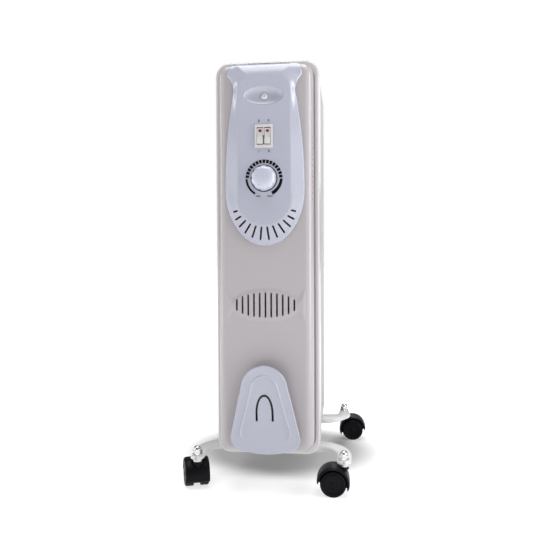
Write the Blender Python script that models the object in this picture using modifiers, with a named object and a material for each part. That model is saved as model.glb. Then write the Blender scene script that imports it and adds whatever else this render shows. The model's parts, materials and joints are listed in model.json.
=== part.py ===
"""Oil filled radiator heater on four twin-wheel casters.

Metres, +Z up.  The control end faces -Y.  The origin is on the floor, midway between the casters.
"""
import math

import bmesh
import bpy
from mathutils import Matrix, Vector

NAME = "oil_filled_radiator_heater"

# Running and assembly clearance between pieces that touch
GAP = 0.0003
# Depth by which shapes that become one piece run into each other
OVERLAP = 0.001
# Distance by which a cutter runs past the sheet that it pierces
OVERRUN = 0.010

# Radiator fins
FIN_COUNT = 7
FIN_PITCH = 0.032
FIN_WIDTH = 0.150
FIN_HEIGHT = 0.586
FIN_CORNER = 0.016
FIN_SHEET = 0.0018
CHANNEL_WIDTH = 0.096
CHANNEL_DEPTH = 0.010
CHANNEL_MARGIN = 0.018
HEADER_RADIUS = 0.024
HEADER_INSET = 0.040
HEADER_BORE = 0.014
HEADER_STEPS = 16
PLUG_HEX_MARGIN = 0.003
PLUG_HEAD = 0.005

# Control housing: the box between the front cover and the first fin
HOUSING_WIDTH = 0.154
HOUSING_HEIGHT = 0.583
HOUSING_DEPTH = 0.048
HOUSING_TOP_CORNER = 0.021
HOUSING_BOTTOM_CORNER = 0.018
HOUSING_EDGE = 0.003
SHEET = 0.0012
LIP_SIDE = 0.0065
LIP_TOP = 0.009
LIP_BOTTOM = 0.008
TOP_SLOT_WIDTH = 0.057
TOP_SLOT_RISE = 0.0066

# Deep-drawn front cover
COVER_GAP = 0.0015
COVER_STAND = 0.030
COVER_CORNER = 0.017
COVER_EDGE = 0.012
COVER_FLANGE = 0.0035
VENT_COUNT = 11
VENT_PITCH = 0.00836
VENT_WIDTH = 0.0025
VENT_HALF_HEIGHT = 0.0182
VENT_DROP = 0.347
SIDE_HOLE_COUNT = 12
SIDE_HOLE_PITCH = 0.008
SIDE_HOLE_RADIUS = 0.0012
SIDE_HOLE_DROP = 0.106
SIDE_HOLE_SETBACK = 0.0078
HOUSING_HOLE_SETBACK = 0.0045

# Control fascia on the upper half of the cover; drops are measured down from the cover's top
FASCIA_SKIN = 0.006
FASCIA_TOP_SKIN = 0.0012
FASCIA_TOP_HALF = 0.054
FASCIA_NECK_HALF = 0.0445
FASCIA_NECK_DROP = 0.0405
FASCIA_SHOULDER_DROP = 0.018
FASCIA_LOBE_HALF = 0.0575
FASCIA_LOBE_DROP = 0.1795
FASCIA_LOBE_LENGTH = 0.082
PANEL_RISE = 0.004
PANEL_HALF = 0.038
PANEL_TOP_DROP = 0.024
PANEL_LOWER_DROP = 0.192
RECESS_DROP = 0.048
RECESS_HALF_WIDTH = 0.029
RECESS_HALF_HEIGHT = 0.014
RECESS_DEPTH = 0.0055
FASCIA_SLOT_COUNT = 12
FASCIA_SLOT_STEP = math.radians(13.6)
FASCIA_SLOT_RING = 0.0433
FASCIA_SLOT_RING_DROP = 0.2006
FASCIA_SLOT_LENGTH = 0.0195
FASCIA_SLOT_WIDTH = 0.0027

# Fascia screw
SCREW_HEAD_RADIUS = 0.0050
SCREW_HEAD_HEIGHT = 0.0020
SCREW_RADIUS = 0.0018
SCREW_LENGTH = 0.011
COUNTERBORE_RADIUS = 0.0058
COUNTERBORE_DEPTH = 0.0015

# Twin rocker switch
SWITCH_DROP = 0.1058
BEZEL_RIM_SIDE = 0.0028
BEZEL_RIM_END = 0.0041
BEZEL_THICK = 0.002
SWITCH_BODY_MARGIN = 0.002
SWITCH_BODY_DEPTH = 0.021
SWITCH_FIT = 0.0003
ROCKER_WIDTH = 0.0086
ROCKER_OFFSET = 0.0053
ROCKER_RADIUS = 0.012
ROCKER_SIDE_GAP = 0.0004
ROCKER_PIVOT_DEPTH = 0.0053
ROCKER_VALLEY = 0.0042
ROCKER_CORNER = math.radians(30)
ROCKER_TILT = math.radians(8)
LENS_RADIUS = 0.0022
LENS_THICK = 0.0014
LENS_ALONG = 0.0068
CAVITY_DEPTH = 0.0165

# Thermostat and its knob
KNOB_DROP = 0.1655
KNOB_RADIUS = 0.0180
KNOB_DEPTH = 0.0135
KNOB_BORE_DEPTH = 0.0085
SHAFT_RADIUS = 0.0030
SHAFT_FIT = 0.0002
SHAFT_HOLE_EXTRA = 0.001
THERMOSTAT_SIZE = 0.028
THERMOSTAT_DEPTH = 0.021
BRACKET_CLEARANCE = 0.002
BRACKET_LENGTH = 0.034
BLADE_THICK = 0.0008
BLADE_WIDTH = 0.0063
BLADE_LENGTH = 0.008

# Cord storage plate, low on the front cover; heights are measured from the cover's bottom
PLATE_THICK = 0.0035
PLATE_TOP_STAND = 0.026
PLATE_BOTTOM_STAND = 0.007
PLATE_BOTTOM = 0.005
PLATE_WIDE_HALF = 0.048
PLATE_WIDE_HEIGHT = 0.034
PLATE_TOP_HEIGHT = 0.1325
PLATE_TOP_RADIUS = 0.032
PLATE_CORNER = 0.017
PLATE_BOW = 0.004
PEDESTAL_INSET = 0.013
CLIP_HALF = 0.011
CLIP_HEIGHT = 0.051
CLIP_RISE = 0.038
CLIP_SLIT = 0.0028

# Pieces inside the control box, on its back wall; rises are measured from the box's bottom
ELEMENT_ROD_RADIUS = 0.0038
ELEMENT_ROD_OFFSET = 0.0068
ELEMENT_LENGTH = 0.168
ELEMENT_FLANGE_RADIUS = 0.019
ELEMENT_FLANGE_THICK = 0.004
TERMINAL_LENGTH = 0.010
TERMINAL_RADIUS = 0.002
CUTOUT_RADIUS = 0.009
CUTOUT_THICK = 0.006
CUTOUT_RISE = 0.088
TERMINAL_BLOCK_SIZE = (0.036, 0.014, 0.012)
TERMINAL_BLOCK_X = 0.038
TERMINAL_BLOCK_RISE = 0.109
TIP_SWITCH_SIZE = (0.024, 0.022, 0.028)
TIP_SWITCH_X = -0.042
TIP_SWITCH_RISE = 0.040
MOULDED_EDGE = 0.0015
GROMMET_X = 0.045
GROMMET_BORE = 0.0038
GROMMET_WAIST = 0.0060
GROMMET_FLANGE = 0.0085
GROMMET_LIP = 0.0022

# Feet: inverted channels between the fins' headers and the casters
FOOT_RISE = 0.004
FOOT_TO_FINS = 0.005
FOOT_SKIRT = 0.0095
FOOT_END_SKIRT = 0.0054
FOOT_SHEET = 0.0015
FOOT_HALF_WIDTH = 0.016
FOOT_END_HALF_WIDTH = 0.0105
FOOT_BEND_RADIUS = 0.040
FOOT_SETBACK = 0.006
FOOT_CROWN = 0.0025
FOOT_BEND_STEPS = 6
FOOT_BEND_SHARE = 0.75
FOOT_NARROW_SHARE = 0.95
FOOT_NARROW_RUN = 0.6
SKIRT_SHARE_START = 0.10
SKIRT_SHARE_RUN = 0.35
U_BOLT_RADIUS = 0.0025
U_BOLT_FIT = 0.0005
U_BOLT_BELOW = 0.0115
WING_NUT_HUB = 0.005
WING_NUT_HEIGHT = 0.0075
WING_NUT_HALF_SPAN = 0.011
WING_NUT_BLADE = 0.0024

# Casters
CASTER_X = 0.112
CASTER_Y = 0.148
CASTER_TRAIL = 0.016
WHEEL_RADIUS = 0.0195
WHEEL_WIDTH = 0.0132
WHEEL_ROUND = 0.003
WHEEL_STEPS = 24
WEB_HALF = 0.0050
WEB_GAP = 0.0004
HOOD_CLEARANCE = 0.0018
HOOD_WALL = 0.0037
HOOD_SWEEP = math.radians(202)
HOOD_STEPS = 10
AXLE_RADIUS = 0.0024
AXLE_FIT = 0.0003
AXLE_END = 0.0031
STEM_PIN_RADIUS = 0.0027
STEM_PIN_LENGTH = 0.016
STEM_COLLAR_RADIUS = 0.0070
STEM_THREAD_RADIUS = 0.0038
BOSS_HEIGHT = 0.0033
STEM_COLLAR_HEIGHT = 0.0086
STEM_RISE = 0.0075
STEM_CHAMFER = 0.001
SEAT_RADIUS = 0.009
BOSS_RADIUS = 0.0075
NUT_FLANGE_RADIUS = 0.0078
NUT_FLANGE_THICK = 0.0018
NUT_HEX_RADIUS = 0.0072
NUT_HEX_HEIGHT = 0.0055
NUT_DOME_RADIUS = 0.0060
NUT_DOME_SKIRT = 0.002
TRAIL_ANGLES = {"front_left": 110.0, "front_right": 180.0, "rear_left": 0.0, "rear_right": 0.0}

# Places that follow from the sizes above
HOOD_INNER_RADIUS = WHEEL_RADIUS + HOOD_CLEARANCE
HOOD_RADIUS = HOOD_INNER_RADIUS + HOOD_WALL
STEM_SEAT = 2 * WHEEL_RADIUS + BOSS_HEIGHT
FOOT_END_TOP = STEM_SEAT + 2 * GAP + STEM_COLLAR_HEIGHT + FOOT_SHEET
FOOT_TOP = FOOT_END_TOP + FOOT_RISE
FIN_BOTTOM = FOOT_TOP + FOOT_TO_FINS
FIRST_FIN_Y = -FIN_PITCH * (FIN_COUNT - 1) / 2
LAST_FIN_Y = -FIRST_FIN_Y
HEADER_HALF = FIN_PITCH / 2 - GAP / 2
LOWER_HEADER_Z = FIN_BOTTOM + HEADER_INSET
UPPER_HEADER_Z = FIN_BOTTOM + FIN_HEIGHT - HEADER_INSET
HOUSING_BACK = FIRST_FIN_Y - FIN_PITCH / 2 - GAP
HOUSING_FRONT = HOUSING_BACK - HOUSING_DEPTH
HOUSING_BOTTOM = FIN_BOTTOM
HOUSING_TOP = HOUSING_BOTTOM + HOUSING_HEIGHT
HOUSING_HALF = HOUSING_WIDTH / 2
WALL_FACE = HOUSING_BACK - SHEET - GAP
COVER_HALF = HOUSING_HALF - LIP_SIDE - COVER_GAP
COVER_TOP = HOUSING_TOP - LIP_TOP - COVER_GAP
COVER_BOTTOM = HOUSING_BOTTOM + LIP_BOTTOM + COVER_GAP
COVER_BACK = HOUSING_FRONT + SHEET + GAP
COVER_FRONT = HOUSING_FRONT - COVER_STAND
FASCIA_FRONT = COVER_FRONT - FASCIA_SKIN
PANEL_FRONT = FASCIA_FRONT - PANEL_RISE
FASCIA_BACK = COVER_FRONT + COVER_EDGE
SWITCH_Z = COVER_TOP - SWITCH_DROP
BEZEL_WIDTH = 2 * (ROCKER_OFFSET + ROCKER_WIDTH / 2 + ROCKER_SIDE_GAP + BEZEL_RIM_SIDE)
BEZEL_HEIGHT = 2 * (ROCKER_RADIUS + ROCKER_SIDE_GAP + BEZEL_RIM_END)
KNOB_Z = COVER_TOP - KNOB_DROP
RECESS_Z = COVER_TOP - RECESS_DROP
RECESS_FLOOR = PANEL_FRONT + RECESS_DEPTH
BEZEL_FRONT = PANEL_FRONT - GAP - BEZEL_THICK
ROCKER_PIVOT_Y = BEZEL_FRONT + ROCKER_PIVOT_DEPTH
BOX_MIDDLE_Y = (HOUSING_FRONT + HOUSING_BACK) / 2
FOOT_GAP_Y = LAST_FIN_Y - FIN_PITCH / 2
FOOT_BAR_Y = FOOT_GAP_Y + FOOT_SETBACK
U_BOLT_BEND = HEADER_RADIUS + 2 * GAP + U_BOLT_RADIUS
HOOD_HALF = WEB_HALF + WEB_GAP + WHEEL_WIDTH
STEM_TOP = FOOT_END_TOP + STEM_RISE

ROTATION = {
    "X": Matrix(((0, 0, 1), (1, 0, 0), (0, 1, 0))).to_4x4(),
    "Y": Matrix(((1, 0, 0), (0, 0, -1), (0, 1, 0))).to_4x4(),
    "Z": Matrix.Identity(4),
}

PAINT = ((0.78, 0.78, 0.765), 0.35, 0.0)
COVER_PAINT = ((0.73, 0.725, 0.72), 0.30, 0.0)
BLUE_GREY = ((0.56, 0.58, 0.68), 0.25, 0.0)
OFF_WHITE = ((0.80, 0.80, 0.77), 0.30, 0.0)
RED_LENS = ((0.35, 0.01, 0.01), 0.15, 0.0)
KNOB_GREY = ((0.66, 0.67, 0.75), 0.25, 0.0)
FOOT_PAINT = ((0.70, 0.70, 0.70), 0.40, 0.0)
BLACK = ((0.012, 0.012, 0.014), 0.40, 0.0)
CHROME = ((0.80, 0.78, 0.76), 0.10, 1.0)
STEEL = ((0.55, 0.55, 0.56), 0.35, 1.0)
BRASS = ((0.72, 0.56, 0.26), 0.30, 1.0)
PHENOLIC = ((0.10, 0.09, 0.08), 0.55, 0.0)


# ---------------------------------------------------------------- scene and object helpers

def clear_scene():
    for thing in list(bpy.data.objects):
        bpy.data.objects.remove(thing, do_unlink=True)


def new_collection(name):
    group = bpy.data.collections.new(name)
    bpy.context.scene.collection.children.link(group)
    return group


def make_material(name, look):
    color, roughness, metallic = look
    material = bpy.data.materials.new(name)
    material.use_nodes = True
    shader = material.node_tree.nodes["Principled BSDF"]
    shader.inputs["Base Color"].default_value = (*color, 1.0)
    shader.inputs["Roughness"].default_value = roughness
    shader.inputs["Metallic"].default_value = metallic
    return material


def mesh_from_bmesh(name, bm):
    mesh = bpy.data.meshes.new(name)
    bm.to_mesh(mesh)
    bm.free()
    return mesh


def add_part(name, mesh, look, matrix=None):
    part = bpy.data.objects.new(name, mesh)
    if matrix is not None:
        part.matrix_world = matrix
    if not mesh.materials:
        mesh.materials.append(make_material(name, look))
    PARTS.objects.link(part)
    return part


def add_cutter(name, mesh, matrix=None):
    cutter = bpy.data.objects.new(name, mesh)
    if matrix is not None:
        cutter.matrix_world = matrix
    cutter.hide_render = True
    cutter.display_type = 'WIRE'
    CUTTERS.objects.link(cutter)
    return cutter


def boolean(part, tool, operation):
    step = part.modifiers.new(tool.name, 'BOOLEAN')
    step.operation = operation
    step.object = tool


def cut(part, tool):
    boolean(part, tool, 'DIFFERENCE')


def weld_on(part, tool):
    boolean(part, tool, 'UNION')


def keep_common(part, tool):
    boolean(part, tool, 'INTERSECT')


def move_origin(part, point):
    """Put the object's origin on its joint's axis and leave the shape where it is."""
    part.data.transform(Matrix.Translation(-Vector(point)))
    part.location = point


def round_shading(part, angle=35.0):
    part.data.shade_smooth()
    part.data.set_sharp_from_angle(angle=math.radians(angle))


# ---------------------------------------------------------------- shape helpers

def box_bmesh(low, high):
    bm = bmesh.new()
    bmesh.ops.create_cube(bm, size=1.0)
    for vertex in bm.verts:
        vertex.co = [low[i] + (vertex.co[i] + 0.5) * (high[i] - low[i]) for i in range(3)]
    return bm


def box_mesh(name, low, high, edge=0.0):
    bm = box_bmesh(low, high)
    if edge:
        bmesh.ops.bevel(bm, geom=bm.edges[:], offset=edge, segments=1, profile=0.5,
                        affect='EDGES', clamp_overlap=True)
    return mesh_from_bmesh(name, bm)


def boxes_mesh(name, boxes):
    """Several boxes in one mesh, each (centre, size, turn about Y)."""
    bm = bmesh.new()
    for centre, size, turn in boxes:
        place = Matrix.Translation(centre) @ Matrix.Rotation(turn, 4, 'Y')
        bmesh.ops.create_cube(bm, size=1.0, matrix=place @ Matrix.Diagonal((*size, 1.0)))
    return mesh_from_bmesh(name, bm)


def rods_mesh(name, radius, low, high, axis, centres, steps=16):
    """Straight round rods along one axis, each centre given in the two other coordinates."""
    bm = bmesh.new()
    for u, v in centres:
        place = ROTATION[axis] @ Matrix.Translation((u, v, 0))
        shift = (low + high) / 2
        if axis == "Y":
            shift = -shift
        place = place @ Matrix.Translation((0, 0, shift))
        bmesh.ops.create_cone(bm, cap_ends=True, segments=steps, radius1=radius, radius2=radius,
                              depth=high - low, matrix=place)
    return mesh_from_bmesh(name, bm)


def rounded_block_mesh(name, low, high, corners, edge, steps=5, edge_steps=4):
    """Block with rounded edges along Y (top, bottom radius) and a rounded front rim."""
    bm = box_bmesh(low, high)
    for radius, level in zip(corners, (high[2], low[2])):
        edges = [e for e in bm.edges
                 if all(abs(v.co.z - level) < 1e-6 for v in e.verts)
                 and abs(e.verts[0].co.y - e.verts[1].co.y) > 1e-6]
        bmesh.ops.bevel(bm, geom=edges, offset=radius, segments=steps, profile=0.5,
                        affect='EDGES', clamp_overlap=False)
    if edge:
        edges = [e for e in bm.edges if all(abs(v.co.y - low[1]) < 1e-6 for v in e.verts)]
        bmesh.ops.bevel(bm, geom=edges, offset=edge, segments=edge_steps, profile=0.5,
                        affect='EDGES', clamp_overlap=False)
    return mesh_from_bmesh(name, bm)


def mesh_of_curve(name, curve, matrix):
    """The curve as a closed mesh, in world coordinates."""
    guide = bpy.data.objects.new(name + "_guide", curve)
    bpy.context.scene.collection.objects.link(guide)
    guide.matrix_world = matrix
    bpy.context.view_layer.update()
    seen = guide.evaluated_get(bpy.context.evaluated_depsgraph_get())
    mesh = bpy.data.meshes.new_from_object(seen)
    mesh.name = name
    mesh.transform(guide.matrix_world)
    bm = bmesh.new()
    bm.from_mesh(mesh)
    bmesh.ops.remove_doubles(bm, verts=bm.verts[:], dist=1e-6)
    bmesh.ops.recalc_face_normals(bm, faces=bm.faces[:])
    bm.to_mesh(mesh)
    bm.free()
    mesh.materials.clear()
    bpy.data.objects.remove(guide, do_unlink=True)
    return mesh


def prism_mesh(name, outlines, axis, low, high):
    """Flat outlines (the first is the rim, the others are holes) between two planes of one axis.

    Points are (y, z) for axis X, (x, z) for axis Y and (x, y) for axis Z.
    """
    curve = bpy.data.curves.new(name, 'CURVE')
    curve.dimensions = '2D'
    curve.fill_mode = 'BOTH'
    curve.extrude = (high - low) / 2
    for outline in outlines:
        spline = curve.splines.new('POLY')
        spline.points.add(len(outline) - 1)
        for point, place in zip(spline.points, outline):
            point.co = (place[0], place[1], 0.0, 1.0)
        spline.use_cyclic_u = True
    middle = (low + high) / 2
    offset = Vector([middle if letter == axis else 0.0 for letter in "XYZ"])
    return mesh_of_curve(name, curve, Matrix.Translation(offset) @ ROTATION[axis])


def tube_mesh(name, points, radius, resolution=2):
    curve = bpy.data.curves.new(name, 'CURVE')
    curve.dimensions = '3D'
    curve.bevel_depth = radius
    curve.bevel_resolution = resolution
    curve.use_fill_caps = True
    spline = curve.splines.new('POLY')
    spline.points.add(len(points) - 1)
    for point, place in zip(spline.points, points):
        point.co = (*place, 1.0)
    return mesh_of_curve(name, curve, Matrix.Identity(4))


def turned(name, profile, look, matrix, steps=24, closed=False, shown=True):
    """Turn an (r, h) profile, listed top to bottom on its outer side, about the matrix's Z axis."""
    mesh = bpy.data.meshes.new(name)
    edges = [(i, i + 1) for i in range(len(profile) - 1)]
    if closed:
        edges.append((len(profile) - 1, 0))
    mesh.from_pydata([(r, 0.0, h) for r, h in profile], edges, [])
    part = add_part(name, mesh, look, matrix) if shown else add_cutter(name, mesh, matrix)
    screw = part.modifiers.new("turn", 'SCREW')
    screw.axis = 'Z'
    screw.steps = steps
    screw.render_steps = steps
    screw.use_merge_vertices = True
    screw.merge_threshold = 1e-6
    screw.use_smooth_shade = True
    return part


def arc(centre, radii, start, sweep, steps):
    return [(centre[0] + radii[0] * math.cos(start + sweep * i / steps),
             centre[1] + radii[1] * math.sin(start + sweep * i / steps)) for i in range(steps + 1)]


def mirrored(half):
    """Close a half outline that runs from the lowest to the highest point on the +X side."""
    return half + [(-x, z) for x, z in reversed(half) if x > 1e-6]


def rounded_rectangle(low, high, radii, steps=5):
    """Outline of a rectangle with (top, bottom) corner radii, counter-clockwise from lower right."""
    top, bottom = radii
    quarter = math.pi / 2
    return (arc((high[0] - bottom, low[1] + bottom), (bottom, bottom), -quarter, quarter, steps)
            + arc((high[0] - top, high[1] - top), (top, top), 0, quarter, steps)
            + arc((low[0] + top, high[1] - top), (top, top), quarter, quarter, steps)
            + arc((low[0] + bottom, low[1] + bottom), (bottom, bottom), 2 * quarter, quarter, steps))


def facing_front(x, y, z):
    """Placement whose Z axis points out of the control end, along -Y."""
    return Matrix.Translation((x, y, z)) @ Matrix.Rotation(math.pi / 2, 4, 'X')


# ---------------------------------------------------------------- radiator

def make_fins():
    """Welded pairs of pressed sheets, joined to each other by an upper and a lower header boss."""
    for index in range(FIN_COUNT):
        name = f"fin_{index + 1}"
        y = FIRST_FIN_Y + index * FIN_PITCH
        half = FIN_SHEET / 2
        top = FIN_BOTTOM + FIN_HEIGHT
        mesh = rounded_block_mesh(name, (-FIN_WIDTH / 2, y - half, FIN_BOTTOM),
                                  (FIN_WIDTH / 2, y + half, top), (FIN_CORNER, FIN_CORNER), 0.0, 3)
        fin = add_part(name, mesh, PAINT)
        channel = rounded_rectangle((-CHANNEL_WIDTH / 2, FIN_BOTTOM + CHANNEL_MARGIN),
                                    (CHANNEL_WIDTH / 2, top - CHANNEL_MARGIN),
                                    (CHANNEL_WIDTH / 4, CHANNEL_WIDTH / 4), 3)
        swell = add_cutter(name + "_channel", prism_mesh(name + "_channel", [channel], "Y",
                                                         y - CHANNEL_DEPTH / 2, y + CHANNEL_DEPTH / 2))
        weld_on(fin, swell)
        is_last = index == FIN_COUNT - 1
        back = y + (CHANNEL_DEPTH if is_last else HEADER_HALF)
        bosses = rods_mesh(name + "_headers", HEADER_RADIUS, y - HEADER_HALF, back, "Y",
                           [(0, LOWER_HEADER_Z), (0, UPPER_HEADER_Z)], HEADER_STEPS)
        weld_on(fin, add_cutter(name + "_headers", bosses))
        bore_end = y + (0 if is_last else FIN_PITCH)
        bore = rods_mesh(name + "_bore", HEADER_BORE, y - FIN_PITCH, bore_end, "Y",
                         [(0, LOWER_HEADER_Z)], 12)
        cut(fin, add_cutter(name + "_bore", bore))
        if is_last:
            filler = rods_mesh("filler_hole", HEADER_BORE / 2, y, y + FIN_PITCH, "Y",
                               [(0, UPPER_HEADER_Z)])
            cut(fin, add_cutter("filler_hole", filler))


def make_filler_plug():
    """Hexagon plug that closes the oil filling hole in the last fin."""
    radius = HEADER_BORE / 2 - GAP
    seat = LAST_FIN_Y + CHANNEL_DEPTH + GAP
    head = rods_mesh("oil_filler_plug", HEADER_BORE / 2 + PLUG_HEX_MARGIN, seat,
                     seat + PLUG_HEAD, "Y",
                     [(0, UPPER_HEADER_Z)], 6)
    plug = add_part("oil_filler_plug", head, STEEL)
    shank = rods_mesh("filler_shank", radius, LAST_FIN_Y + 2 * GAP, seat + OVERLAP, "Y",
                      [(0, UPPER_HEADER_Z)])
    weld_on(plug, add_cutter("filler_shank", shank))


def make_heating_element():
    """Sheathed hairpin in the lower header, screwed in through the control box's back wall."""
    flange_back = WALL_FACE
    flange = rods_mesh("heating_element", ELEMENT_FLANGE_RADIUS, flange_back - ELEMENT_FLANGE_THICK,
                       flange_back, "Y", [(0, LOWER_HEADER_Z)], 6)
    element = add_part("heating_element", flange, BRASS)
    neck_end = FIRST_FIN_Y
    neck = rods_mesh("element_neck", HEADER_BORE - 2 * GAP, flange_back - OVERLAP, neck_end, "Y",
                     [(0, LOWER_HEADER_Z)])
    weld_on(element, add_cutter("element_neck", neck))
    start = neck_end - 2 * OVERLAP
    end = start + ELEMENT_LENGTH - ELEMENT_ROD_OFFSET
    bend = [(ELEMENT_ROD_OFFSET * math.cos(math.pi * i / 8), end + ELEMENT_ROD_OFFSET
             * math.sin(math.pi * i / 8), LOWER_HEADER_Z) for i in range(9)]
    path = [(ELEMENT_ROD_OFFSET, start, LOWER_HEADER_Z)] + bend
    path.append((-ELEMENT_ROD_OFFSET, start, LOWER_HEADER_Z))
    hairpin = tube_mesh("element_hairpin", path, ELEMENT_ROD_RADIUS)
    weld_on(element, add_cutter("element_hairpin", hairpin))
    front = flange_back - ELEMENT_FLANGE_THICK
    terminals = rods_mesh("element_terminals", TERMINAL_RADIUS, front - TERMINAL_LENGTH,
                          front + OVERLAP, "Y", [(-ELEMENT_ROD_OFFSET, LOWER_HEADER_Z),
                                               (ELEMENT_ROD_OFFSET, LOWER_HEADER_Z)], 12)
    weld_on(element, add_cutter("element_terminals", terminals))


# ---------------------------------------------------------------- control box

def side_hole_centres(y):
    top = COVER_TOP - SIDE_HOLE_DROP
    return [(y, top - i * SIDE_HOLE_PITCH) for i in range(SIDE_HOLE_COUNT)]


def make_control_housing():
    """Painted sheet box with a folded front lip round the cover's opening."""
    mesh = rounded_block_mesh("control_housing", (-HOUSING_HALF, HOUSING_FRONT, HOUSING_BOTTOM),
                              (HOUSING_HALF, HOUSING_BACK, HOUSING_TOP),
                              (HOUSING_TOP_CORNER, HOUSING_BOTTOM_CORNER), HOUSING_EDGE, 5, 2)
    housing = add_part("control_housing", mesh, PAINT)
    room = rounded_block_mesh("housing_room",
                              (-HOUSING_HALF + SHEET, HOUSING_FRONT + SHEET, HOUSING_BOTTOM + SHEET),
                              (HOUSING_HALF - SHEET, HOUSING_BACK - SHEET, HOUSING_TOP - SHEET),
                              (HOUSING_TOP_CORNER - SHEET, HOUSING_BOTTOM_CORNER - SHEET),
                              HOUSING_EDGE - SHEET, 5, 2)
    cut(housing, add_cutter("housing_room", room))
    opening = rounded_rectangle((-COVER_HALF - COVER_GAP, COVER_BOTTOM - COVER_GAP),
                                (COVER_HALF + COVER_GAP, COVER_TOP + COVER_GAP),
                                (COVER_CORNER + COVER_GAP, COVER_CORNER + COVER_GAP))
    window = prism_mesh("housing_window", [opening], "Y", HOUSING_FRONT - SHEET,
                        HOUSING_FRONT + 2 * SHEET)
    cut(housing, add_cutter("housing_window", window))
    slot = box_mesh("top_slot", (-TOP_SLOT_WIDTH / 2, HOUSING_FRONT - SHEET, COVER_TOP - SHEET),
                    (TOP_SLOT_WIDTH / 2, HOUSING_FRONT + 2 * SHEET,
                     COVER_TOP + COVER_GAP + TOP_SLOT_RISE))
    cut(housing, add_cutter("top_slot", slot))
    passage = rods_mesh("element_passage", HEADER_BORE, HOUSING_BACK - 2 * SHEET,
                        HOUSING_BACK + SHEET, "Y", [(0, LOWER_HEADER_Z)], 20)
    cut(housing, add_cutter("element_passage", passage))
    inlet = rods_mesh("cord_inlet", GROMMET_WAIST + GAP, HOUSING_BOTTOM - SHEET,
                      HOUSING_BOTTOM + 2 * SHEET, "Z", [(GROMMET_X, BOX_MIDDLE_Y)])
    cut(housing, add_cutter("cord_inlet", inlet))
    vents = rods_mesh("housing_vents", SIDE_HOLE_RADIUS, -HOUSING_WIDTH, HOUSING_WIDTH, "X",
                      side_hole_centres(HOUSING_FRONT + HOUSING_HOLE_SETBACK), 6)
    cut(housing, add_cutter("housing_vents", vents))


def cover_envelope(name, grow):
    """The cover's outer form, grown on all sides; the same form cuts the fascia's back."""
    return rounded_block_mesh(name, (-COVER_HALF - grow, COVER_FRONT - grow, COVER_BOTTOM - grow),
                              (COVER_HALF + grow, COVER_BACK + SHEET / 2, COVER_TOP + grow),
                              (COVER_CORNER + grow, COVER_CORNER + grow), COVER_EDGE + grow)


def vent_slots(name):
    """Upright slots whose ends lie on an ellipse."""
    span = (VENT_COUNT / 2 + 0.15) * VENT_PITCH
    centre_z = COVER_TOP - VENT_DROP
    boxes = []
    for index in range(VENT_COUNT):
        x = (index - (VENT_COUNT - 1) / 2) * VENT_PITCH
        half = VENT_HALF_HEIGHT * math.sqrt(1 - (x / span) ** 2)
        boxes.append(((x, COVER_FRONT, centre_z), (VENT_WIDTH, 4 * SHEET, 2 * half), 0.0))
    return boxes_mesh(name, boxes)


def make_front_cover():
    """Deep-drawn cover; its return flange lies behind the housing's lip."""
    bm = bmesh.new()
    shape = cover_envelope("cover_form", 0.0)
    bm.from_mesh(shape)
    rim = COVER_BACK + SHEET / 2
    back = [f for f in bm.faces if all(abs(v.co.y - rim) < 1e-6 for v in f.verts)]
    bmesh.ops.delete(bm, geom=back, context='FACES')
    cover = add_part("front_cover", mesh_from_bmesh("front_cover", bm), COVER_PAINT)
    wall = cover.modifiers.new("sheet", 'SOLIDIFY')
    wall.thickness = SHEET
    wall.offset = -1.0
    wall.use_even_offset = True
    grow = COVER_GAP + COVER_FLANGE
    outer = rounded_rectangle((-COVER_HALF - grow, COVER_BOTTOM - grow),
                              (COVER_HALF + grow, COVER_TOP + grow),
                              (COVER_CORNER + grow, COVER_CORNER + grow))
    shrink = 2 * SHEET
    inner = rounded_rectangle((-COVER_HALF + shrink, COVER_BOTTOM + shrink),
                              (COVER_HALF - shrink, COVER_TOP - shrink),
                              (COVER_CORNER - shrink, COVER_CORNER - shrink))
    flange = prism_mesh("cover_flange", [outer, inner], "Y", COVER_BACK, COVER_BACK + SHEET)
    weld_on(cover, add_cutter("cover_flange", flange))
    cut(cover, add_cutter("cover_vents", vent_slots("cover_vents")))
    cut(cover, add_cutter("cover_fascia_slots", fascia_slots("cover_fascia_slots")))
    side_y = COVER_FRONT + SIDE_HOLE_SETBACK
    holes = rods_mesh("cover_side_holes", SIDE_HOLE_RADIUS, -HOUSING_WIDTH, HOUSING_WIDTH, "X",
                      side_hole_centres(side_y), 6)
    cut(cover, add_cutter("cover_side_holes", holes))
    depth = (COVER_FRONT - SHEET, COVER_FRONT + 2 * SHEET)
    cut(cover, add_cutter("cover_switch_window", switch_window("cover_switch_window", depth)))
    bores = rods_mesh("cover_shaft_hole", SHAFT_RADIUS + SHAFT_HOLE_EXTRA, *depth, "Y", [(0, KNOB_Z)])
    cut(cover, add_cutter("cover_shaft_hole", bores))
    screw = rods_mesh("cover_screw_hole", SCREW_RADIUS + GAP, *depth, "Y", [(0, RECESS_Z)], 12)
    cut(cover, add_cutter("cover_screw_hole", screw))


# ---------------------------------------------------------------- control fascia

def switch_window(name, depth):
    half_width = BEZEL_WIDTH / 2 - SWITCH_BODY_MARGIN + SWITCH_FIT
    half_height = BEZEL_HEIGHT / 2 - SWITCH_BODY_MARGIN + SWITCH_FIT
    return box_mesh(name, (-half_width, depth[0], SWITCH_Z - half_height),
                    (half_width, depth[1], SWITCH_Z + half_height))


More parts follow.
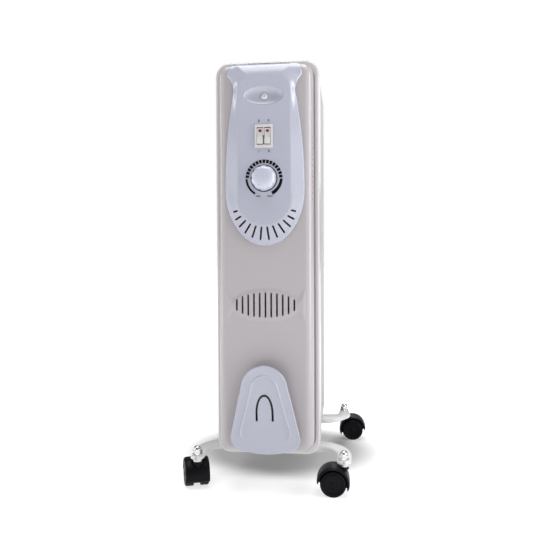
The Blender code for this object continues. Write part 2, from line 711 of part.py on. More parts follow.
def fascia_outline():
    """Round lobe at the bottom, a waist near the top and shoulders that flare to the top edge."""
    lobe_z = COVER_TOP - FASCIA_LOBE_DROP
    neck_z = COVER_TOP - FASCIA_NECK_DROP
    shoulder_z = COVER_TOP - FASCIA_SHOULDER_DROP
    half = arc((0, lobe_z), (FASCIA_LOBE_HALF, FASCIA_LOBE_LENGTH), -math.pi / 2, math.pi / 2, 10)
    for step in range(1, 6):
        t = step / 5
        half.append((FASCIA_NECK_HALF + (FASCIA_LOBE_HALF - FASCIA_NECK_HALF) * (1 - t * t),
                     lobe_z + t * (neck_z - lobe_z)))
    for step in range(1, 4):
        t = step / 3
        half.append((FASCIA_NECK_HALF + (FASCIA_TOP_HALF - FASCIA_NECK_HALF) * t * t,
                     neck_z + t * (shoulder_z - neck_z)))
    half.append((FASCIA_TOP_HALF, COVER_TOP + COVER_EDGE))
    half.append((0.0, COVER_TOP + COVER_EDGE))
    return mirrored(half)


def panel_outline():
    lower_z = COVER_TOP - PANEL_LOWER_DROP
    half = arc((0, lower_z), (PANEL_HALF, PANEL_HALF), -math.pi / 2, math.pi / 2, 8)
    half.append((PANEL_HALF, COVER_TOP - PANEL_TOP_DROP))
    half.append((0.0, COVER_TOP - PANEL_TOP_DROP))
    return mirrored(half)


def fascia_slots(name):
    """Radial slots round the lobe, shorter towards the sides."""
    centre_z = COVER_TOP - FASCIA_SLOT_RING_DROP
    depth = 3 * (FASCIA_SKIN + PANEL_RISE)
    boxes = []
    for index in range(FASCIA_SLOT_COUNT):
        angle = (index - (FASCIA_SLOT_COUNT - 1) / 2) * FASCIA_SLOT_STEP
        place = (FASCIA_SLOT_RING * math.sin(angle), FASCIA_FRONT,
                 centre_z - FASCIA_SLOT_RING * math.cos(angle))
        length = FASCIA_SLOT_LENGTH * math.cos(angle * 0.9)
        boxes.append((place, (FASCIA_SLOT_WIDTH, depth, length), -angle))
    return boxes_mesh(name, boxes)


def make_fascia():
    """Plastic moulding that follows the cover's face and wraps over its top edge."""
    mesh = prism_mesh("control_fascia", [fascia_outline()], "Y", PANEL_FRONT - FASCIA_SKIN,
                      FASCIA_BACK)
    fascia = add_part("control_fascia", mesh, BLUE_GREY)
    side = COVER_HALF + FASCIA_SKIN
    top = COVER_TOP + FASCIA_TOP_SKIN
    limit = rounded_block_mesh("fascia_limit", (-side, FASCIA_FRONT, COVER_BOTTOM),
                               (side, FASCIA_BACK + SHEET, top),
                               (COVER_CORNER, COVER_CORNER), COVER_EDGE + FASCIA_TOP_SKIN)
    keep_common(fascia, add_cutter("fascia_limit", limit))
    panel = prism_mesh("fascia_panel", [panel_outline()], "Y", PANEL_FRONT, FASCIA_FRONT + SHEET)
    weld_on(fascia, add_cutter("fascia_panel", panel))
    cut(fascia, add_cutter("fascia_back", cover_envelope("fascia_back", GAP)))
    cut(fascia, add_cutter("fascia_slots", fascia_slots("fascia_slots")))
    depth = (PANEL_FRONT - SHEET, COVER_FRONT + SHEET)
    cut(fascia, add_cutter("fascia_switch_window", switch_window("fascia_switch_window", depth)))
    shaft = rods_mesh("fascia_shaft_hole", SHAFT_RADIUS + SHAFT_HOLE_EXTRA, *depth, "Y", [(0, KNOB_Z)])
    cut(fascia, add_cutter("fascia_shaft_hole", shaft))
    rim = arc((0, RECESS_Z), (RECESS_HALF_WIDTH, RECESS_HALF_HEIGHT), 0, 2 * math.pi, 24)[:-1]
    recess = prism_mesh("fascia_recess", [rim], "Y", PANEL_FRONT - SHEET, RECESS_FLOOR)
    cut(fascia, add_cutter("fascia_recess", recess))
    counterbore = rods_mesh("fascia_counterbore", COUNTERBORE_RADIUS, PANEL_FRONT - SHEET,
                            RECESS_FLOOR + COUNTERBORE_DEPTH, "Y", [(0, RECESS_Z)])
    cut(fascia, add_cutter("fascia_counterbore", counterbore))
    screw = rods_mesh("fascia_screw_hole", SCREW_RADIUS + GAP, *depth, "Y", [(0, RECESS_Z)], 12)
    cut(fascia, add_cutter("fascia_screw_hole", screw))


def make_fascia_screw():
    """Pan head screw that holds the fascia to the cover."""
    seat = RECESS_FLOOR + COUNTERBORE_DEPTH - GAP
    profile = [(0.0, SCREW_HEAD_HEIGHT), (SCREW_HEAD_RADIUS * 0.7, SCREW_HEAD_HEIGHT),
               (SCREW_HEAD_RADIUS, SCREW_HEAD_HEIGHT * 0.4), (SCREW_HEAD_RADIUS, 0.0),
               (SCREW_RADIUS, 0.0), (SCREW_RADIUS, -SCREW_LENGTH), (0.0, -SCREW_LENGTH - SCREW_RADIUS)]
    screw = turned("fascia_screw", profile, STEEL, facing_front(0, seat, RECESS_Z), 16)
    slot = box_mesh("screw_slot", (-SCREW_HEAD_RADIUS, seat - SCREW_HEAD_HEIGHT - SHEET,
                                   RECESS_Z - SCREW_RADIUS / 4),
                    (SCREW_HEAD_RADIUS, seat - SCREW_HEAD_HEIGHT / 2, RECESS_Z + SCREW_RADIUS / 4))
    cut(screw, add_cutter("screw_slot", slot))


# ---------------------------------------------------------------- switch, thermostat

def make_switch_body():
    """Bezel and case of the twin rocker switch."""
    half_width = BEZEL_WIDTH / 2
    half_height = BEZEL_HEIGHT / 2
    bezel = box_mesh("switch_body", (-half_width, BEZEL_FRONT, SWITCH_Z - half_height),
                     (half_width, PANEL_FRONT - GAP, SWITCH_Z + half_height))
    body = add_part("switch_body", bezel, OFF_WHITE)
    margin = SWITCH_BODY_MARGIN
    case = box_mesh("switch_case", (-half_width + margin, BEZEL_FRONT + BEZEL_THICK / 2,
                                    SWITCH_Z - half_height + margin),
                    (half_width - margin, BEZEL_FRONT + SWITCH_BODY_DEPTH,
                     SWITCH_Z + half_height - margin))
    weld_on(body, add_cutter("switch_case", case))
    room_x = ROCKER_OFFSET + ROCKER_WIDTH / 2 + ROCKER_SIDE_GAP
    room_z = ROCKER_RADIUS + ROCKER_SIDE_GAP
    room = box_mesh("rocker_room", (-room_x, BEZEL_FRONT - SHEET, SWITCH_Z - room_z),
                    (room_x, BEZEL_FRONT + CAVITY_DEPTH, SWITCH_Z + room_z))
    cut(body, add_cutter("rocker_room", room))


def make_rocker(side, x):
    """Rocker cap: its ends are arcs about the pivot, so it turns inside the bezel."""
    lower = math.radians(-20)
    sweep = ROCKER_CORNER - lower
    right = arc((0, 0), (ROCKER_RADIUS, ROCKER_RADIUS), lower, sweep, 3)
    left = arc((0, 0), (ROCKER_RADIUS, ROCKER_RADIUS), math.pi - ROCKER_CORNER, sweep, 3)
    outline = right + [(0.0, ROCKER_VALLEY)] + left + [(0.0, -ROCKER_RADIUS / 2)]
    pivot = (x, ROCKER_PIVOT_Y, SWITCH_Z)
    turn = Matrix.Rotation(-ROCKER_TILT, 2)
    points = []
    for along, out in outline:
        spun = turn @ Vector((along, out))
        points.append((ROCKER_PIVOT_Y - spun.y, SWITCH_Z + spun.x))
    name = "rocker_" + side
    half = ROCKER_WIDTH / 2
    rocker = add_part(name, prism_mesh(name, [points], "X", x - half, x + half), OFF_WHITE)
    corner = Vector((math.cos(ROCKER_CORNER), math.sin(ROCKER_CORNER))) * ROCKER_RADIUS
    face = (corner - Vector((0.0, ROCKER_VALLEY))).normalized()
    middle = turn @ (Vector((0.0, ROCKER_VALLEY)) + face * LENS_ALONG)
    slope = math.atan2((turn @ face).y, (turn @ face).x)
    seat = Matrix.Translation((x, ROCKER_PIVOT_Y - middle.y, SWITCH_Z + middle.x))
    seat = seat @ Matrix.Rotation(math.pi / 2 + slope, 4, 'X')
    depth = LENS_THICK
    pocket = [(0.0, depth), (LENS_RADIUS + GAP, depth), (LENS_RADIUS + GAP, -depth - GAP),
              (0.0, -depth - GAP)]
    cut(rocker, turned(name + "_lens_pocket", pocket, None, seat, 12, shown=False))
    move_origin(rocker, pivot)
    lens_profile = [(0.0, depth / 3), (LENS_RADIUS * 0.7, depth / 4), (LENS_RADIUS, 0.0),
                    (LENS_RADIUS, -depth), (0.0, -depth)]
    turned("rocker_lens_" + side, lens_profile, RED_LENS, seat, 12)


def make_thermostat():
    knob_back = PANEL_FRONT - 2 * GAP
    bore = SHAFT_RADIUS + SHAFT_FIT
    profile = [(0.0, KNOB_DEPTH), (KNOB_RADIUS * 0.45, KNOB_DEPTH * 0.985),
               (KNOB_RADIUS * 0.78, KNOB_DEPTH * 0.88), (KNOB_RADIUS * 0.93, KNOB_DEPTH * 0.68),
               (KNOB_RADIUS, KNOB_DEPTH * 0.40), (KNOB_RADIUS, 0.0), (bore, 0.0),
               (bore, KNOB_BORE_DEPTH), (0.0, KNOB_BORE_DEPTH)]
    turned("thermostat_knob", profile, KNOB_GREY, facing_front(0, knob_back, KNOB_Z), 24)
    body_front = COVER_FRONT + 2 * SHEET + 2 * GAP
    shaft_front = knob_back - KNOB_BORE_DEPTH + GAP
    shaft = rods_mesh("thermostat_shaft", SHAFT_RADIUS, shaft_front, body_front - GAP, "Y",
                      [(0, KNOB_Z)], 16)
    spindle = add_part("thermostat_shaft", shaft, BRASS)
    round_shading(spindle)
    move_origin(spindle, (0, shaft_front, KNOB_Z))
    half = THERMOSTAT_SIZE / 2
    body_mesh = box_mesh("thermostat_body", (-half, body_front, KNOB_Z - half),
                         (half, body_front + THERMOSTAT_DEPTH, KNOB_Z + half), MOULDED_EDGE)
    body = add_part("thermostat_body", body_mesh, PHENOLIC)
    blade_y = body_front + THERMOSTAT_DEPTH + BLADE_LENGTH / 2 - OVERLAP
    blade = (BLADE_THICK, BLADE_LENGTH + 2 * OVERLAP, BLADE_WIDTH)
    blades = boxes_mesh("thermostat_blades",
                        [((x, blade_y, KNOB_Z), blade, 0.0) for x in (-half / 2, half / 2)])
    weld_on(body, add_cutter("thermostat_blades", blades))
    inner = half + BRACKET_CLEARANCE
    outer = inner + SHEET
    front = COVER_FRONT + SHEET + GAP
    back = front + THERMOSTAT_DEPTH * 0.8
    section = [(-outer, back), (-outer, front), (outer, front), (outer, back), (inner, back),
               (inner, front + SHEET), (-inner, front + SHEET), (-inner, back)]
    bracket_mesh = prism_mesh("thermostat_bracket", [section], "Z", KNOB_Z - BRACKET_LENGTH / 2,
                              KNOB_Z + BRACKET_LENGTH / 2)
    bracket = add_part("thermostat_bracket", bracket_mesh, STEEL)
    hole = rods_mesh("bracket_hole", SHAFT_RADIUS + SHAFT_HOLE_EXTRA, front - SHEET,
                     front + 2 * SHEET, "Y", [(0, KNOB_Z)])
    cut(bracket, add_cutter("bracket_hole", hole))


# ---------------------------------------------------------------- cord storage and inner pieces

def plate_outline(inset=0.0):
    """Bell outline: small radius at the top, straight flanks and round lower corners."""
    top_r = PLATE_TOP_RADIUS - inset
    corner_r = PLATE_CORNER - inset / 2
    top_z = COVER_BOTTOM + PLATE_TOP_HEIGHT - PLATE_TOP_RADIUS
    low_z = COVER_BOTTOM + PLATE_BOTTOM + inset
    wide_x = PLATE_WIDE_HALF - inset - corner_r
    wide_z = COVER_BOTTOM + PLATE_WIDE_HEIGHT
    flank = math.atan2(wide_x + corner_r - top_r, top_z - wide_z)
    half = [(0.0, low_z - PLATE_BOW), (wide_x * 0.6, low_z - PLATE_BOW * 0.6)]
    half += arc((wide_x, low_z + corner_r), (corner_r, corner_r), -math.pi / 2, math.pi / 2 + flank, 5)
    half += arc((0, top_z), (top_r, top_r), flank, math.pi / 2 - flank, 6)
    return mirrored(half)


def lean_plate(mesh):
    """Shear towards the front so that the top of the plate stands further out than its bottom."""
    slope = (PLATE_TOP_STAND - PLATE_BOTTOM_STAND) / (PLATE_TOP_HEIGHT - PLATE_BOTTOM)
    base = COVER_BOTTOM + PLATE_BOTTOM
    for vertex in mesh.vertices:
        vertex.co.y -= slope * (vertex.co.z - base)


def make_cord_storage_cover():
    """Leaning plate on a pedestal; the cord winds behind it and clips under the tongue."""
    plate_back = COVER_FRONT - PLATE_BOTTOM_STAND
    mesh = prism_mesh("cord_storage_cover", [plate_outline()], "Y", plate_back - PLATE_THICK,
                      plate_back)
    lean_plate(mesh)
    cover = add_part("cord_storage_cover", mesh, BLUE_GREY)
    block = prism_mesh("cord_pedestal", [plate_outline(PEDESTAL_INSET)], "Y",
                       plate_back - PLATE_THICK / 2, plate_back + PLATE_TOP_STAND)
    lean_plate(block)
    keep = box_mesh("pedestal_limit", (-COVER_HALF, COVER_FRONT - 2 * PLATE_TOP_STAND, COVER_BOTTOM),
                    (COVER_HALF, COVER_FRONT - GAP, COVER_TOP))
    pedestal = add_cutter("cord_pedestal", block)
    keep_common(pedestal, add_cutter("pedestal_limit", keep))
    hollow = prism_mesh("pedestal_hollow", [plate_outline(PEDESTAL_INSET + PLATE_THICK)], "Y",
                        plate_back, plate_back + 2 * PLATE_TOP_STAND)
    lean_plate(hollow)
    cut(pedestal, add_cutter("pedestal_hollow", hollow))
    weld_on(cover, pedestal)
    base = COVER_BOTTOM + CLIP_HEIGHT
    reach = plate_back - PLATE_TOP_STAND - PLATE_THICK
    outer = arc((0, base), (CLIP_HALF + CLIP_SLIT / 2, CLIP_RISE + CLIP_SLIT / 2), 0, math.pi, 10)
    inner = arc((0, base), (CLIP_HALF - CLIP_SLIT / 2, CLIP_RISE - CLIP_SLIT / 2), math.pi, -math.pi, 10)
    slit = prism_mesh("clip_slit", [outer + inner], "Y", reach, plate_back)
    cut(cover, add_cutter("clip_slit", slit))


def make_wall_block(name, size, x, rise, look):
    """Moulded case on the control box's back wall, its middle at the given rise."""
    z = HOUSING_BOTTOM + rise
    mesh = box_mesh(name, (x - size[0] / 2, WALL_FACE - size[1], z - size[2] / 2),
                    (x + size[0] / 2, WALL_FACE, z + size[2] / 2), MOULDED_EDGE)
    add_part(name, mesh, look)


def make_inner_pieces():
    make_wall_block("terminal_block", TERMINAL_BLOCK_SIZE, TERMINAL_BLOCK_X, TERMINAL_BLOCK_RISE,
                    OFF_WHITE)
    make_wall_block("tip_over_switch", TIP_SWITCH_SIZE, TIP_SWITCH_X, TIP_SWITCH_RISE, BLACK)
    profile = [(0.0, CUTOUT_THICK), (CUTOUT_RADIUS * 0.9, CUTOUT_THICK),
               (CUTOUT_RADIUS * 0.9, CUTOUT_THICK * 0.4), (CUTOUT_RADIUS, CUTOUT_THICK * 0.4),
               (CUTOUT_RADIUS, 0.0), (0.0, 0.0)]
    turned("thermal_cutout", profile, STEEL,
           facing_front(0, WALL_FACE, HOUSING_BOTTOM + CUTOUT_RISE), 20)
    low = HOUSING_BOTTOM - GAP
    high = HOUSING_BOTTOM + SHEET + GAP
    ring = [(GROMMET_FLANGE * 0.85, high + GROMMET_LIP), (GROMMET_FLANGE, high),
            (GROMMET_WAIST, high), (GROMMET_WAIST, low), (GROMMET_FLANGE, low),
            (GROMMET_FLANGE * 0.85, low - GROMMET_LIP), (GROMMET_BORE, low - GROMMET_LIP),
            (GROMMET_BORE, high + GROMMET_LIP)]
    place = Matrix.Translation((GROMMET_X, BOX_MIDDLE_Y, 0))
    turned("cord_grommet", ring, BLACK, place, 20, closed=True)


# ---------------------------------------------------------------- feet

def foot_path():
    """Half of the foot's centre line: (x, y, turn, share of the way from bar to end)."""
    end_x = CASTER_X
    bend_x = end_x - FOOT_BEND_RADIUS
    centre = (bend_x, FOOT_BAR_Y + FOOT_BEND_RADIUS)
    stations = [(0.0, FOOT_BAR_Y, 0.0, 0.0), (bend_x, FOOT_BAR_Y, 0.0, 0.0)]
    for step in range(1, FOOT_BEND_STEPS + 1):
        t = step / FOOT_BEND_STEPS
        turn = math.pi / 2 * t
        stations.append((centre[0] + FOOT_BEND_RADIUS * math.sin(turn),
                         centre[1] - FOOT_BEND_RADIUS * math.cos(turn), turn, FOOT_BEND_SHARE * t))
    straight = CASTER_Y - centre[1]
    stations.append((end_x, centre[1] + straight * FOOT_NARROW_RUN, math.pi / 2, FOOT_NARROW_SHARE))
    for angle in (0, 30, 55, 75):
        run = FOOT_END_HALF_WIDTH * math.sin(math.radians(angle))
        stations.append((end_x, CASTER_Y + run, math.pi / 2, 1.0 + angle))
    return stations


def foot_section(x, y, turn, share):
    """Inverted channel across the path; past the caster it narrows along a half circle."""
    blend = min(share, 1.0)
    smooth = blend * blend * (3 - 2 * blend)
    half = FOOT_HALF_WIDTH + (FOOT_END_HALF_WIDTH - FOOT_HALF_WIDTH) * smooth
    if share > 1.0:
        half *= math.cos(math.radians(share - 1.0))
    top = FOOT_TOP + (FOOT_END_TOP - FOOT_TOP) * smooth
    skirt_share = min(1.0, max(0.0, (blend - SKIRT_SHARE_START) / SKIRT_SHARE_RUN))
    skirt = FOOT_SKIRT + (FOOT_END_SKIRT - FOOT_SKIRT) * skirt_share
    inner = max(half - FOOT_SHEET, FOOT_SHEET / 2)
    low = top - skirt
    under = top - FOOT_SHEET
    crown = min(FOOT_CROWN, half / 3)
    inner_crown = min(FOOT_CROWN, inner) / 3
    right = [(half - crown, top), (half, top - FOOT_CROWN), (half, low), (inner, low),
             (inner, under - FOOT_CROWN / 2), (inner - inner_crown, under)]
    shape = right + [(-u, z) for u, z in reversed(right)]
    side = Vector((-math.sin(turn), math.cos(turn)))
    return [(x + side.x * u, y + side.y * u, z) for u, z in shape]


def make_foot(name, sign):
    """Loft the channel along its path; sign is -1 in front, +1 behind."""
    half = foot_path()
    left = [(-x, y, -turn, share) for x, y, turn, share in reversed(half[1:])]
    bm = bmesh.new()
    rings = []
    for station in left + half:
        rings.append([bm.verts.new(p) for p in foot_section(*station)])
    count = len(rings[0])
    for first, second in zip(rings, rings[1:]):
        for i in range(count):
            j = (i + 1) % count
            bm.faces.new((first[i], first[j], second[j], second[i]))
    bm.faces.new(rings[0])
    bm.faces.new(list(reversed(rings[-1])))
    if sign < 0:
        bmesh.ops.transform(bm, matrix=Matrix.Rotation(math.pi, 4, 'Z'), verts=bm.verts[:])
    bmesh.ops.recalc_face_normals(bm, faces=bm.faces[:])
    foot = add_part(name, mesh_from_bmesh(name, bm), FOOT_PAINT)
    stem_holes = rods_mesh(name + "_stem_holes", STEM_THREAD_RADIUS + GAP, FOOT_END_TOP - OVERRUN,
                           FOOT_END_TOP + OVERRUN, "Z",
                           [(-CASTER_X, sign * CASTER_Y), (CASTER_X, sign * CASTER_Y)], 16)
    cut(foot, add_cutter(name + "_stem_holes", stem_holes))
    bolt_holes = rods_mesh(name + "_bolt_holes", U_BOLT_RADIUS + U_BOLT_FIT, FOOT_TOP - OVERRUN,
                           FOOT_TOP + OVERRUN, "Z",
                           [(-U_BOLT_BEND, sign * FOOT_GAP_Y), (U_BOLT_BEND, sign * FOOT_GAP_Y)], 12)
    cut(foot, add_cutter(name + "_bolt_holes", bolt_holes))


def make_foot_fixing(end, sign):
    """U-bolt over the lower header between two fins, with a wing nut under each foot hole."""
    y = sign * FOOT_GAP_Y
    low = FOOT_TOP - FOOT_SHEET - U_BOLT_BELOW
    over = [(x, y, z) for x, z in arc((0, LOWER_HEADER_Z), (U_BOLT_BEND, U_BOLT_BEND), 0, math.pi, 12)]
    path = [(U_BOLT_BEND, y, low)] + over + [(-U_BOLT_BEND, y, low)]
    bolt = tube_mesh("foot_u_bolt_" + end, path, U_BOLT_RADIUS)
    round_shading(add_part("foot_u_bolt_" + end, bolt, STEEL))
    top = FOOT_TOP - FOOT_SHEET - GAP
    for side, x in (("left", -U_BOLT_BEND), ("right", U_BOLT_BEND)):
        name = f"wing_nut_{end}_{side}"
        hub = rods_mesh(name, WING_NUT_HUB, top - WING_NUT_HEIGHT, top, "Z", [(x, y)], 16)
        nut = add_part(name, hub, STEEL)
        span = WING_NUT_HALF_SPAN
        drop = top - WING_NUT_HEIGHT
        blade = [(x - WING_NUT_HUB, top - GAP), (x - span, drop - GAP), (x + span, drop - GAP),
                 (x + WING_NUT_HUB, top - GAP)]
        wings = prism_mesh(name + "_wings", [blade], "Y", y - WING_NUT_BLADE / 2, y + WING_NUT_BLADE / 2)
        weld_on(nut, add_cutter(name + "_wings", wings))
        bore = rods_mesh(name + "_bore", U_BOLT_RADIUS + GAP, drop - OVERRUN, top + OVERRUN, "Z",
                         [(x, y)], 12)
        cut(nut, add_cutter(name + "_bore", bore))


# ---------------------------------------------------------------- casters

def hood_outline():
    centre = (CASTER_TRAIL, WHEEL_RADIUS)
    outer = arc(centre, (HOOD_RADIUS, HOOD_RADIUS), 0, HOOD_SWEEP, HOOD_STEPS)
    inner = arc(centre, (HOOD_INNER_RADIUS, HOOD_INNER_RADIUS), HOOD_SWEEP, -HOOD_SWEEP, HOOD_STEPS)
    return outer + inner


def web_outline():
    centre = (CASTER_TRAIL, WHEEL_RADIUS)
    radius = (HOOD_RADIUS + HOOD_INNER_RADIUS) / 2
    rim = arc(centre, (radius, radius), 0, HOOD_SWEEP, HOOD_STEPS)
    return rim + [(CASTER_TRAIL - WHEEL_RADIUS / 3, WHEEL_RADIUS / 2),
                  (CASTER_TRAIL + WHEEL_RADIUS / 3, WHEEL_RADIUS / 2)]


def caster_meshes():
    """Meshes shared by the four casters, in the caster's own frame: stem on Z, trail along +X."""
    meshes = {}
    meshes["hood"] = prism_mesh("caster_hood_shape", [hood_outline()], "Y", -HOOD_HALF, HOOD_HALF)
    meshes["web"] = prism_mesh("caster_web_shape", [web_outline()], "Y", -WEB_HALF, WEB_HALF)
    meshes["boss"] = rods_mesh("caster_boss_shape", BOSS_RADIUS, 2 * WHEEL_RADIUS - WEB_GAP,
                               STEM_SEAT, "Z", [(0, 0)], 16)
    meshes["neck"] = rods_mesh("caster_neck_shape", WEB_HALF, STEM_SEAT - STEM_PIN_LENGTH - 2 * SHEET,
                               STEM_SEAT - SHEET, "Z", [(0, 0)], 16)
    meshes["seat"] = rods_mesh("caster_seat_shape", SEAT_RADIUS, STEM_SEAT,
                               STEM_SEAT + OVERRUN, "Z", [(0, 0)], 16)
    meshes["pin_hole"] = rods_mesh("caster_pin_shape", STEM_PIN_RADIUS + GAP,
                                   STEM_SEAT - STEM_PIN_LENGTH - GAP, STEM_SEAT + OVERRUN, "Z",
                                   [(0, 0)], 12)
    meshes["axle_hole"] = rods_mesh("caster_axle_hole_shape", AXLE_RADIUS + AXLE_FIT, -HOOD_HALF / 2,
                                    HOOD_HALF / 2, "Y", [(0, 0)], 12)
    meshes["axle"] = rods_mesh("caster_axle_shape", AXLE_RADIUS, -HOOD_HALF + AXLE_END,
                               HOOD_HALF - AXLE_END, "Y", [(0, 0)], 12)
    meshes["hex"] = rods_mesh("nut_hex_shape", NUT_HEX_RADIUS, NUT_FLANGE_THICK / 2,
                              NUT_FLANGE_THICK + NUT_HEX_HEIGHT, "Z", [(0, 0)], 6)
    meshes["nut_bore"] = rods_mesh("nut_bore_shape", STEM_THREAD_RADIUS + GAP, -2 * OVERLAP,
                                   STEM_TOP - FOOT_END_TOP + GAP, "Z", [(0, 0)], 12)
    return meshes


def make_caster(tag, x, y, meshes):
    place = Matrix.Translation((x, y, 0)) @ Matrix.Rotation(math.radians(TRAIL_ANGLES[tag]), 4, 'Z')
    at_axle = place @ Matrix.Translation((CASTER_TRAIL, 0, WHEEL_RADIUS))

    hood = add_part("caster_hood_" + tag, meshes["hood"].copy(), BLACK, place)
    for key in ("web", "neck", "boss"):
        weld_on(hood, add_cutter(f"caster_{key}_{tag}", meshes[key], place))
    cut(hood, add_cutter("caster_seat_" + tag, meshes["seat"], place))
    cut(hood, add_cutter("caster_pin_hole_" + tag, meshes["pin_hole"], place))
    cut(hood, add_cutter("caster_axle_hole_" + tag, meshes["axle_hole"], at_axle))

    round_shading(add_part("caster_axle_" + tag, meshes["axle"].copy(), STEEL, at_axle))
    inner = WEB_HALF + WEB_GAP
    bore = AXLE_RADIUS + AXLE_FIT
    bore_end = HOOD_HALF - AXLE_END + 2 * GAP
    chord = WHEEL_ROUND * (1 - math.sqrt(0.5))
    profile = [(0.0, HOOD_HALF), (WHEEL_RADIUS - WHEEL_ROUND, HOOD_HALF),
               (WHEEL_RADIUS - chord, HOOD_HALF - chord), (WHEEL_RADIUS, HOOD_HALF - WHEEL_ROUND),
               (WHEEL_RADIUS, inner), (bore, inner), (bore, bore_end), (0.0, bore_end)]
    for side, turn in (("a", math.pi / 2), ("b", -math.pi / 2)):
        turned(f"caster_wheel_{tag}_{side}", profile, BLACK,
               at_axle @ Matrix.Rotation(turn, 4, 'X'), WHEEL_STEPS)

    stem_base = STEM_SEAT + GAP
    collar_top = FOOT_END_TOP - FOOT_SHEET - GAP
    stem = [(0.0, STEM_TOP), (STEM_THREAD_RADIUS * 0.7, STEM_TOP),
            (STEM_THREAD_RADIUS, STEM_TOP - STEM_CHAMFER), (STEM_THREAD_RADIUS, collar_top),
            (STEM_COLLAR_RADIUS, collar_top), (STEM_COLLAR_RADIUS, stem_base),
            (STEM_PIN_RADIUS, stem_base), (STEM_PIN_RADIUS, STEM_SEAT - STEM_PIN_LENGTH),
            (0.0, STEM_SEAT - STEM_PIN_LENGTH)]
    turned("caster_stem_" + tag, stem, STEEL, place, 12)

    nut_place = place @ Matrix.Translation((0, 0, FOOT_END_TOP + GAP))
    hex_top = NUT_FLANGE_THICK + NUT_HEX_HEIGHT
    dome = [(0.0, hex_top + NUT_DOME_RADIUS)]
    dome += [(NUT_DOME_RADIUS * math.sin(a), hex_top + NUT_DOME_RADIUS * math.cos(a))
             for a in (math.radians(38), math.radians(72))]
    dome += [(NUT_DOME_RADIUS, hex_top - NUT_DOME_SKIRT), (NUT_DOME_RADIUS, NUT_FLANGE_THICK),
             (NUT_FLANGE_RADIUS, NUT_FLANGE_THICK * 0.6), (NUT_FLANGE_RADIUS, 0.0), (0.0, 0.0)]
    nut = turned("acorn_nut_" + tag, dome, CHROME, nut_place, 16)
    weld_on(nut, add_cutter("nut_hex_" + tag, meshes["hex"], nut_place))
    cut(nut, add_cutter("nut_bore_" + tag, meshes["nut_bore"], nut_place))


# ---------------------------------------------------------------- build

clear_scene()
PARTS = new_collection(NAME)
CUTTERS = new_collection(NAME + "_cutters")

make_fins()
make_filler_plug()
make_heating_element()
make_control_housing()
make_front_cover()
make_fascia()
make_fascia_screw()
make_switch_body()
make_rocker("left", -ROCKER_OFFSET)
make_rocker("right", ROCKER_OFFSET)
make_thermostat()
make_cord_storage_cover()
make_inner_pieces()
make_foot("foot_front", -1)
make_foot("foot_rear", 1)
make_foot_fixing("front", -1)
make_foot_fixing("rear", 1)
SHARED = caster_meshes()
for caster_name, caster_place in (("front_left", (-CASTER_X, -CASTER_Y)),
                                  ("front_right", (CASTER_X, -CASTER_Y)),
                                  ("rear_left", (-CASTER_X, CASTER_Y)),
                                  ("rear_right", (CASTER_X, CASTER_Y))):
    make_caster(caster_name, *caster_place, SHARED)
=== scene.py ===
"""Looks of the oil filled radiator heater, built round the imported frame.

Metres, +Z up.  The control end faces -Y.  Places and overall sizes come from the frame's nodes; finer
sizes stand beside the piece they belong to.  Each piece rides on the body of the node it stands for.
"""
import json
import math

import bmesh
import bpy
from mathutils import Matrix, Vector


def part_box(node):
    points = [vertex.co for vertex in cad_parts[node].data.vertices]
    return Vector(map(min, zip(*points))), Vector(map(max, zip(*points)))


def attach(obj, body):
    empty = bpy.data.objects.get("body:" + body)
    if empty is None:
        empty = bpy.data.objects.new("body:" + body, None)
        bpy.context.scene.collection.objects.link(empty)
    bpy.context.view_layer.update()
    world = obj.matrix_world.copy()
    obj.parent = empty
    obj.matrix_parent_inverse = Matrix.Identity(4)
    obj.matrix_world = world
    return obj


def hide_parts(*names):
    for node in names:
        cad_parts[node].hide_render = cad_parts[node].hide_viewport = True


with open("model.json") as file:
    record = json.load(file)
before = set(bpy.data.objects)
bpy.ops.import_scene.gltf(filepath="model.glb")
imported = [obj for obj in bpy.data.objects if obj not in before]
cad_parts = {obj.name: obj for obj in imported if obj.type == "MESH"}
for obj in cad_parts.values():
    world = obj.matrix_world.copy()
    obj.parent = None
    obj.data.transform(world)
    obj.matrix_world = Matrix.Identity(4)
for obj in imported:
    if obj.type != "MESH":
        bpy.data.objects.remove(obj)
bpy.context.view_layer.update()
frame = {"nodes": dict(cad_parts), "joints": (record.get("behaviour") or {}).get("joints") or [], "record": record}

MM = 0.001
TAU = 2 * math.pi
SHEET = 1.2 * MM
TOUCH = 0.15 * MM
SIDES = ("left", "right")

# Places read from the frame
HOUSING_LOW, HOUSING_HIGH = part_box("control_housing")
FLANGE_LOW, FLANGE_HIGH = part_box("front_cover")
COVER_RETURN = 5 * MM
COVER_HALF = FLANGE_HIGH.x - COVER_RETURN
COVER_LOW = FLANGE_LOW.z + COVER_RETURN
COVER_TOP = FLANGE_HIGH.z - COVER_RETURN
COVER_FRONT = FLANGE_LOW.y
COVER_BACK = FLANGE_HIGH.y - SHEET
COVER_CORNER = 17 * MM
COVER_EDGE = 12 * MM
LIP_GAP = 1.5 * MM
PANEL_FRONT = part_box("control_fascia")[0].y
FASCIA_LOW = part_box("control_fascia")[0].z
FASCIA_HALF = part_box("control_fascia")[1].x
SWITCH_LOW, SWITCH_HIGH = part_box("switch_body")
SWITCH_Z = (SWITCH_LOW.z + SWITCH_HIGH.z) / 2
KNOB_LOW, KNOB_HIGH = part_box("thermostat_knob")
KNOB_Z = (KNOB_LOW.z + KNOB_HIGH.z) / 2
KNOB_RADIUS = (KNOB_HIGH.z - KNOB_LOW.z) / 2
SCREW_Z = sum(corner.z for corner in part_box("fascia_screw")) / 2
SCREW_HEAD = 2.0 * MM
SCREW_SEAT = PANEL_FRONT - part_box("fascia_screw")[0].y - SCREW_HEAD
RECESS_HALF_X, RECESS_HALF_Z, RECESS_DEPTH = 29 * MM, 14 * MM, 6.6 * MM
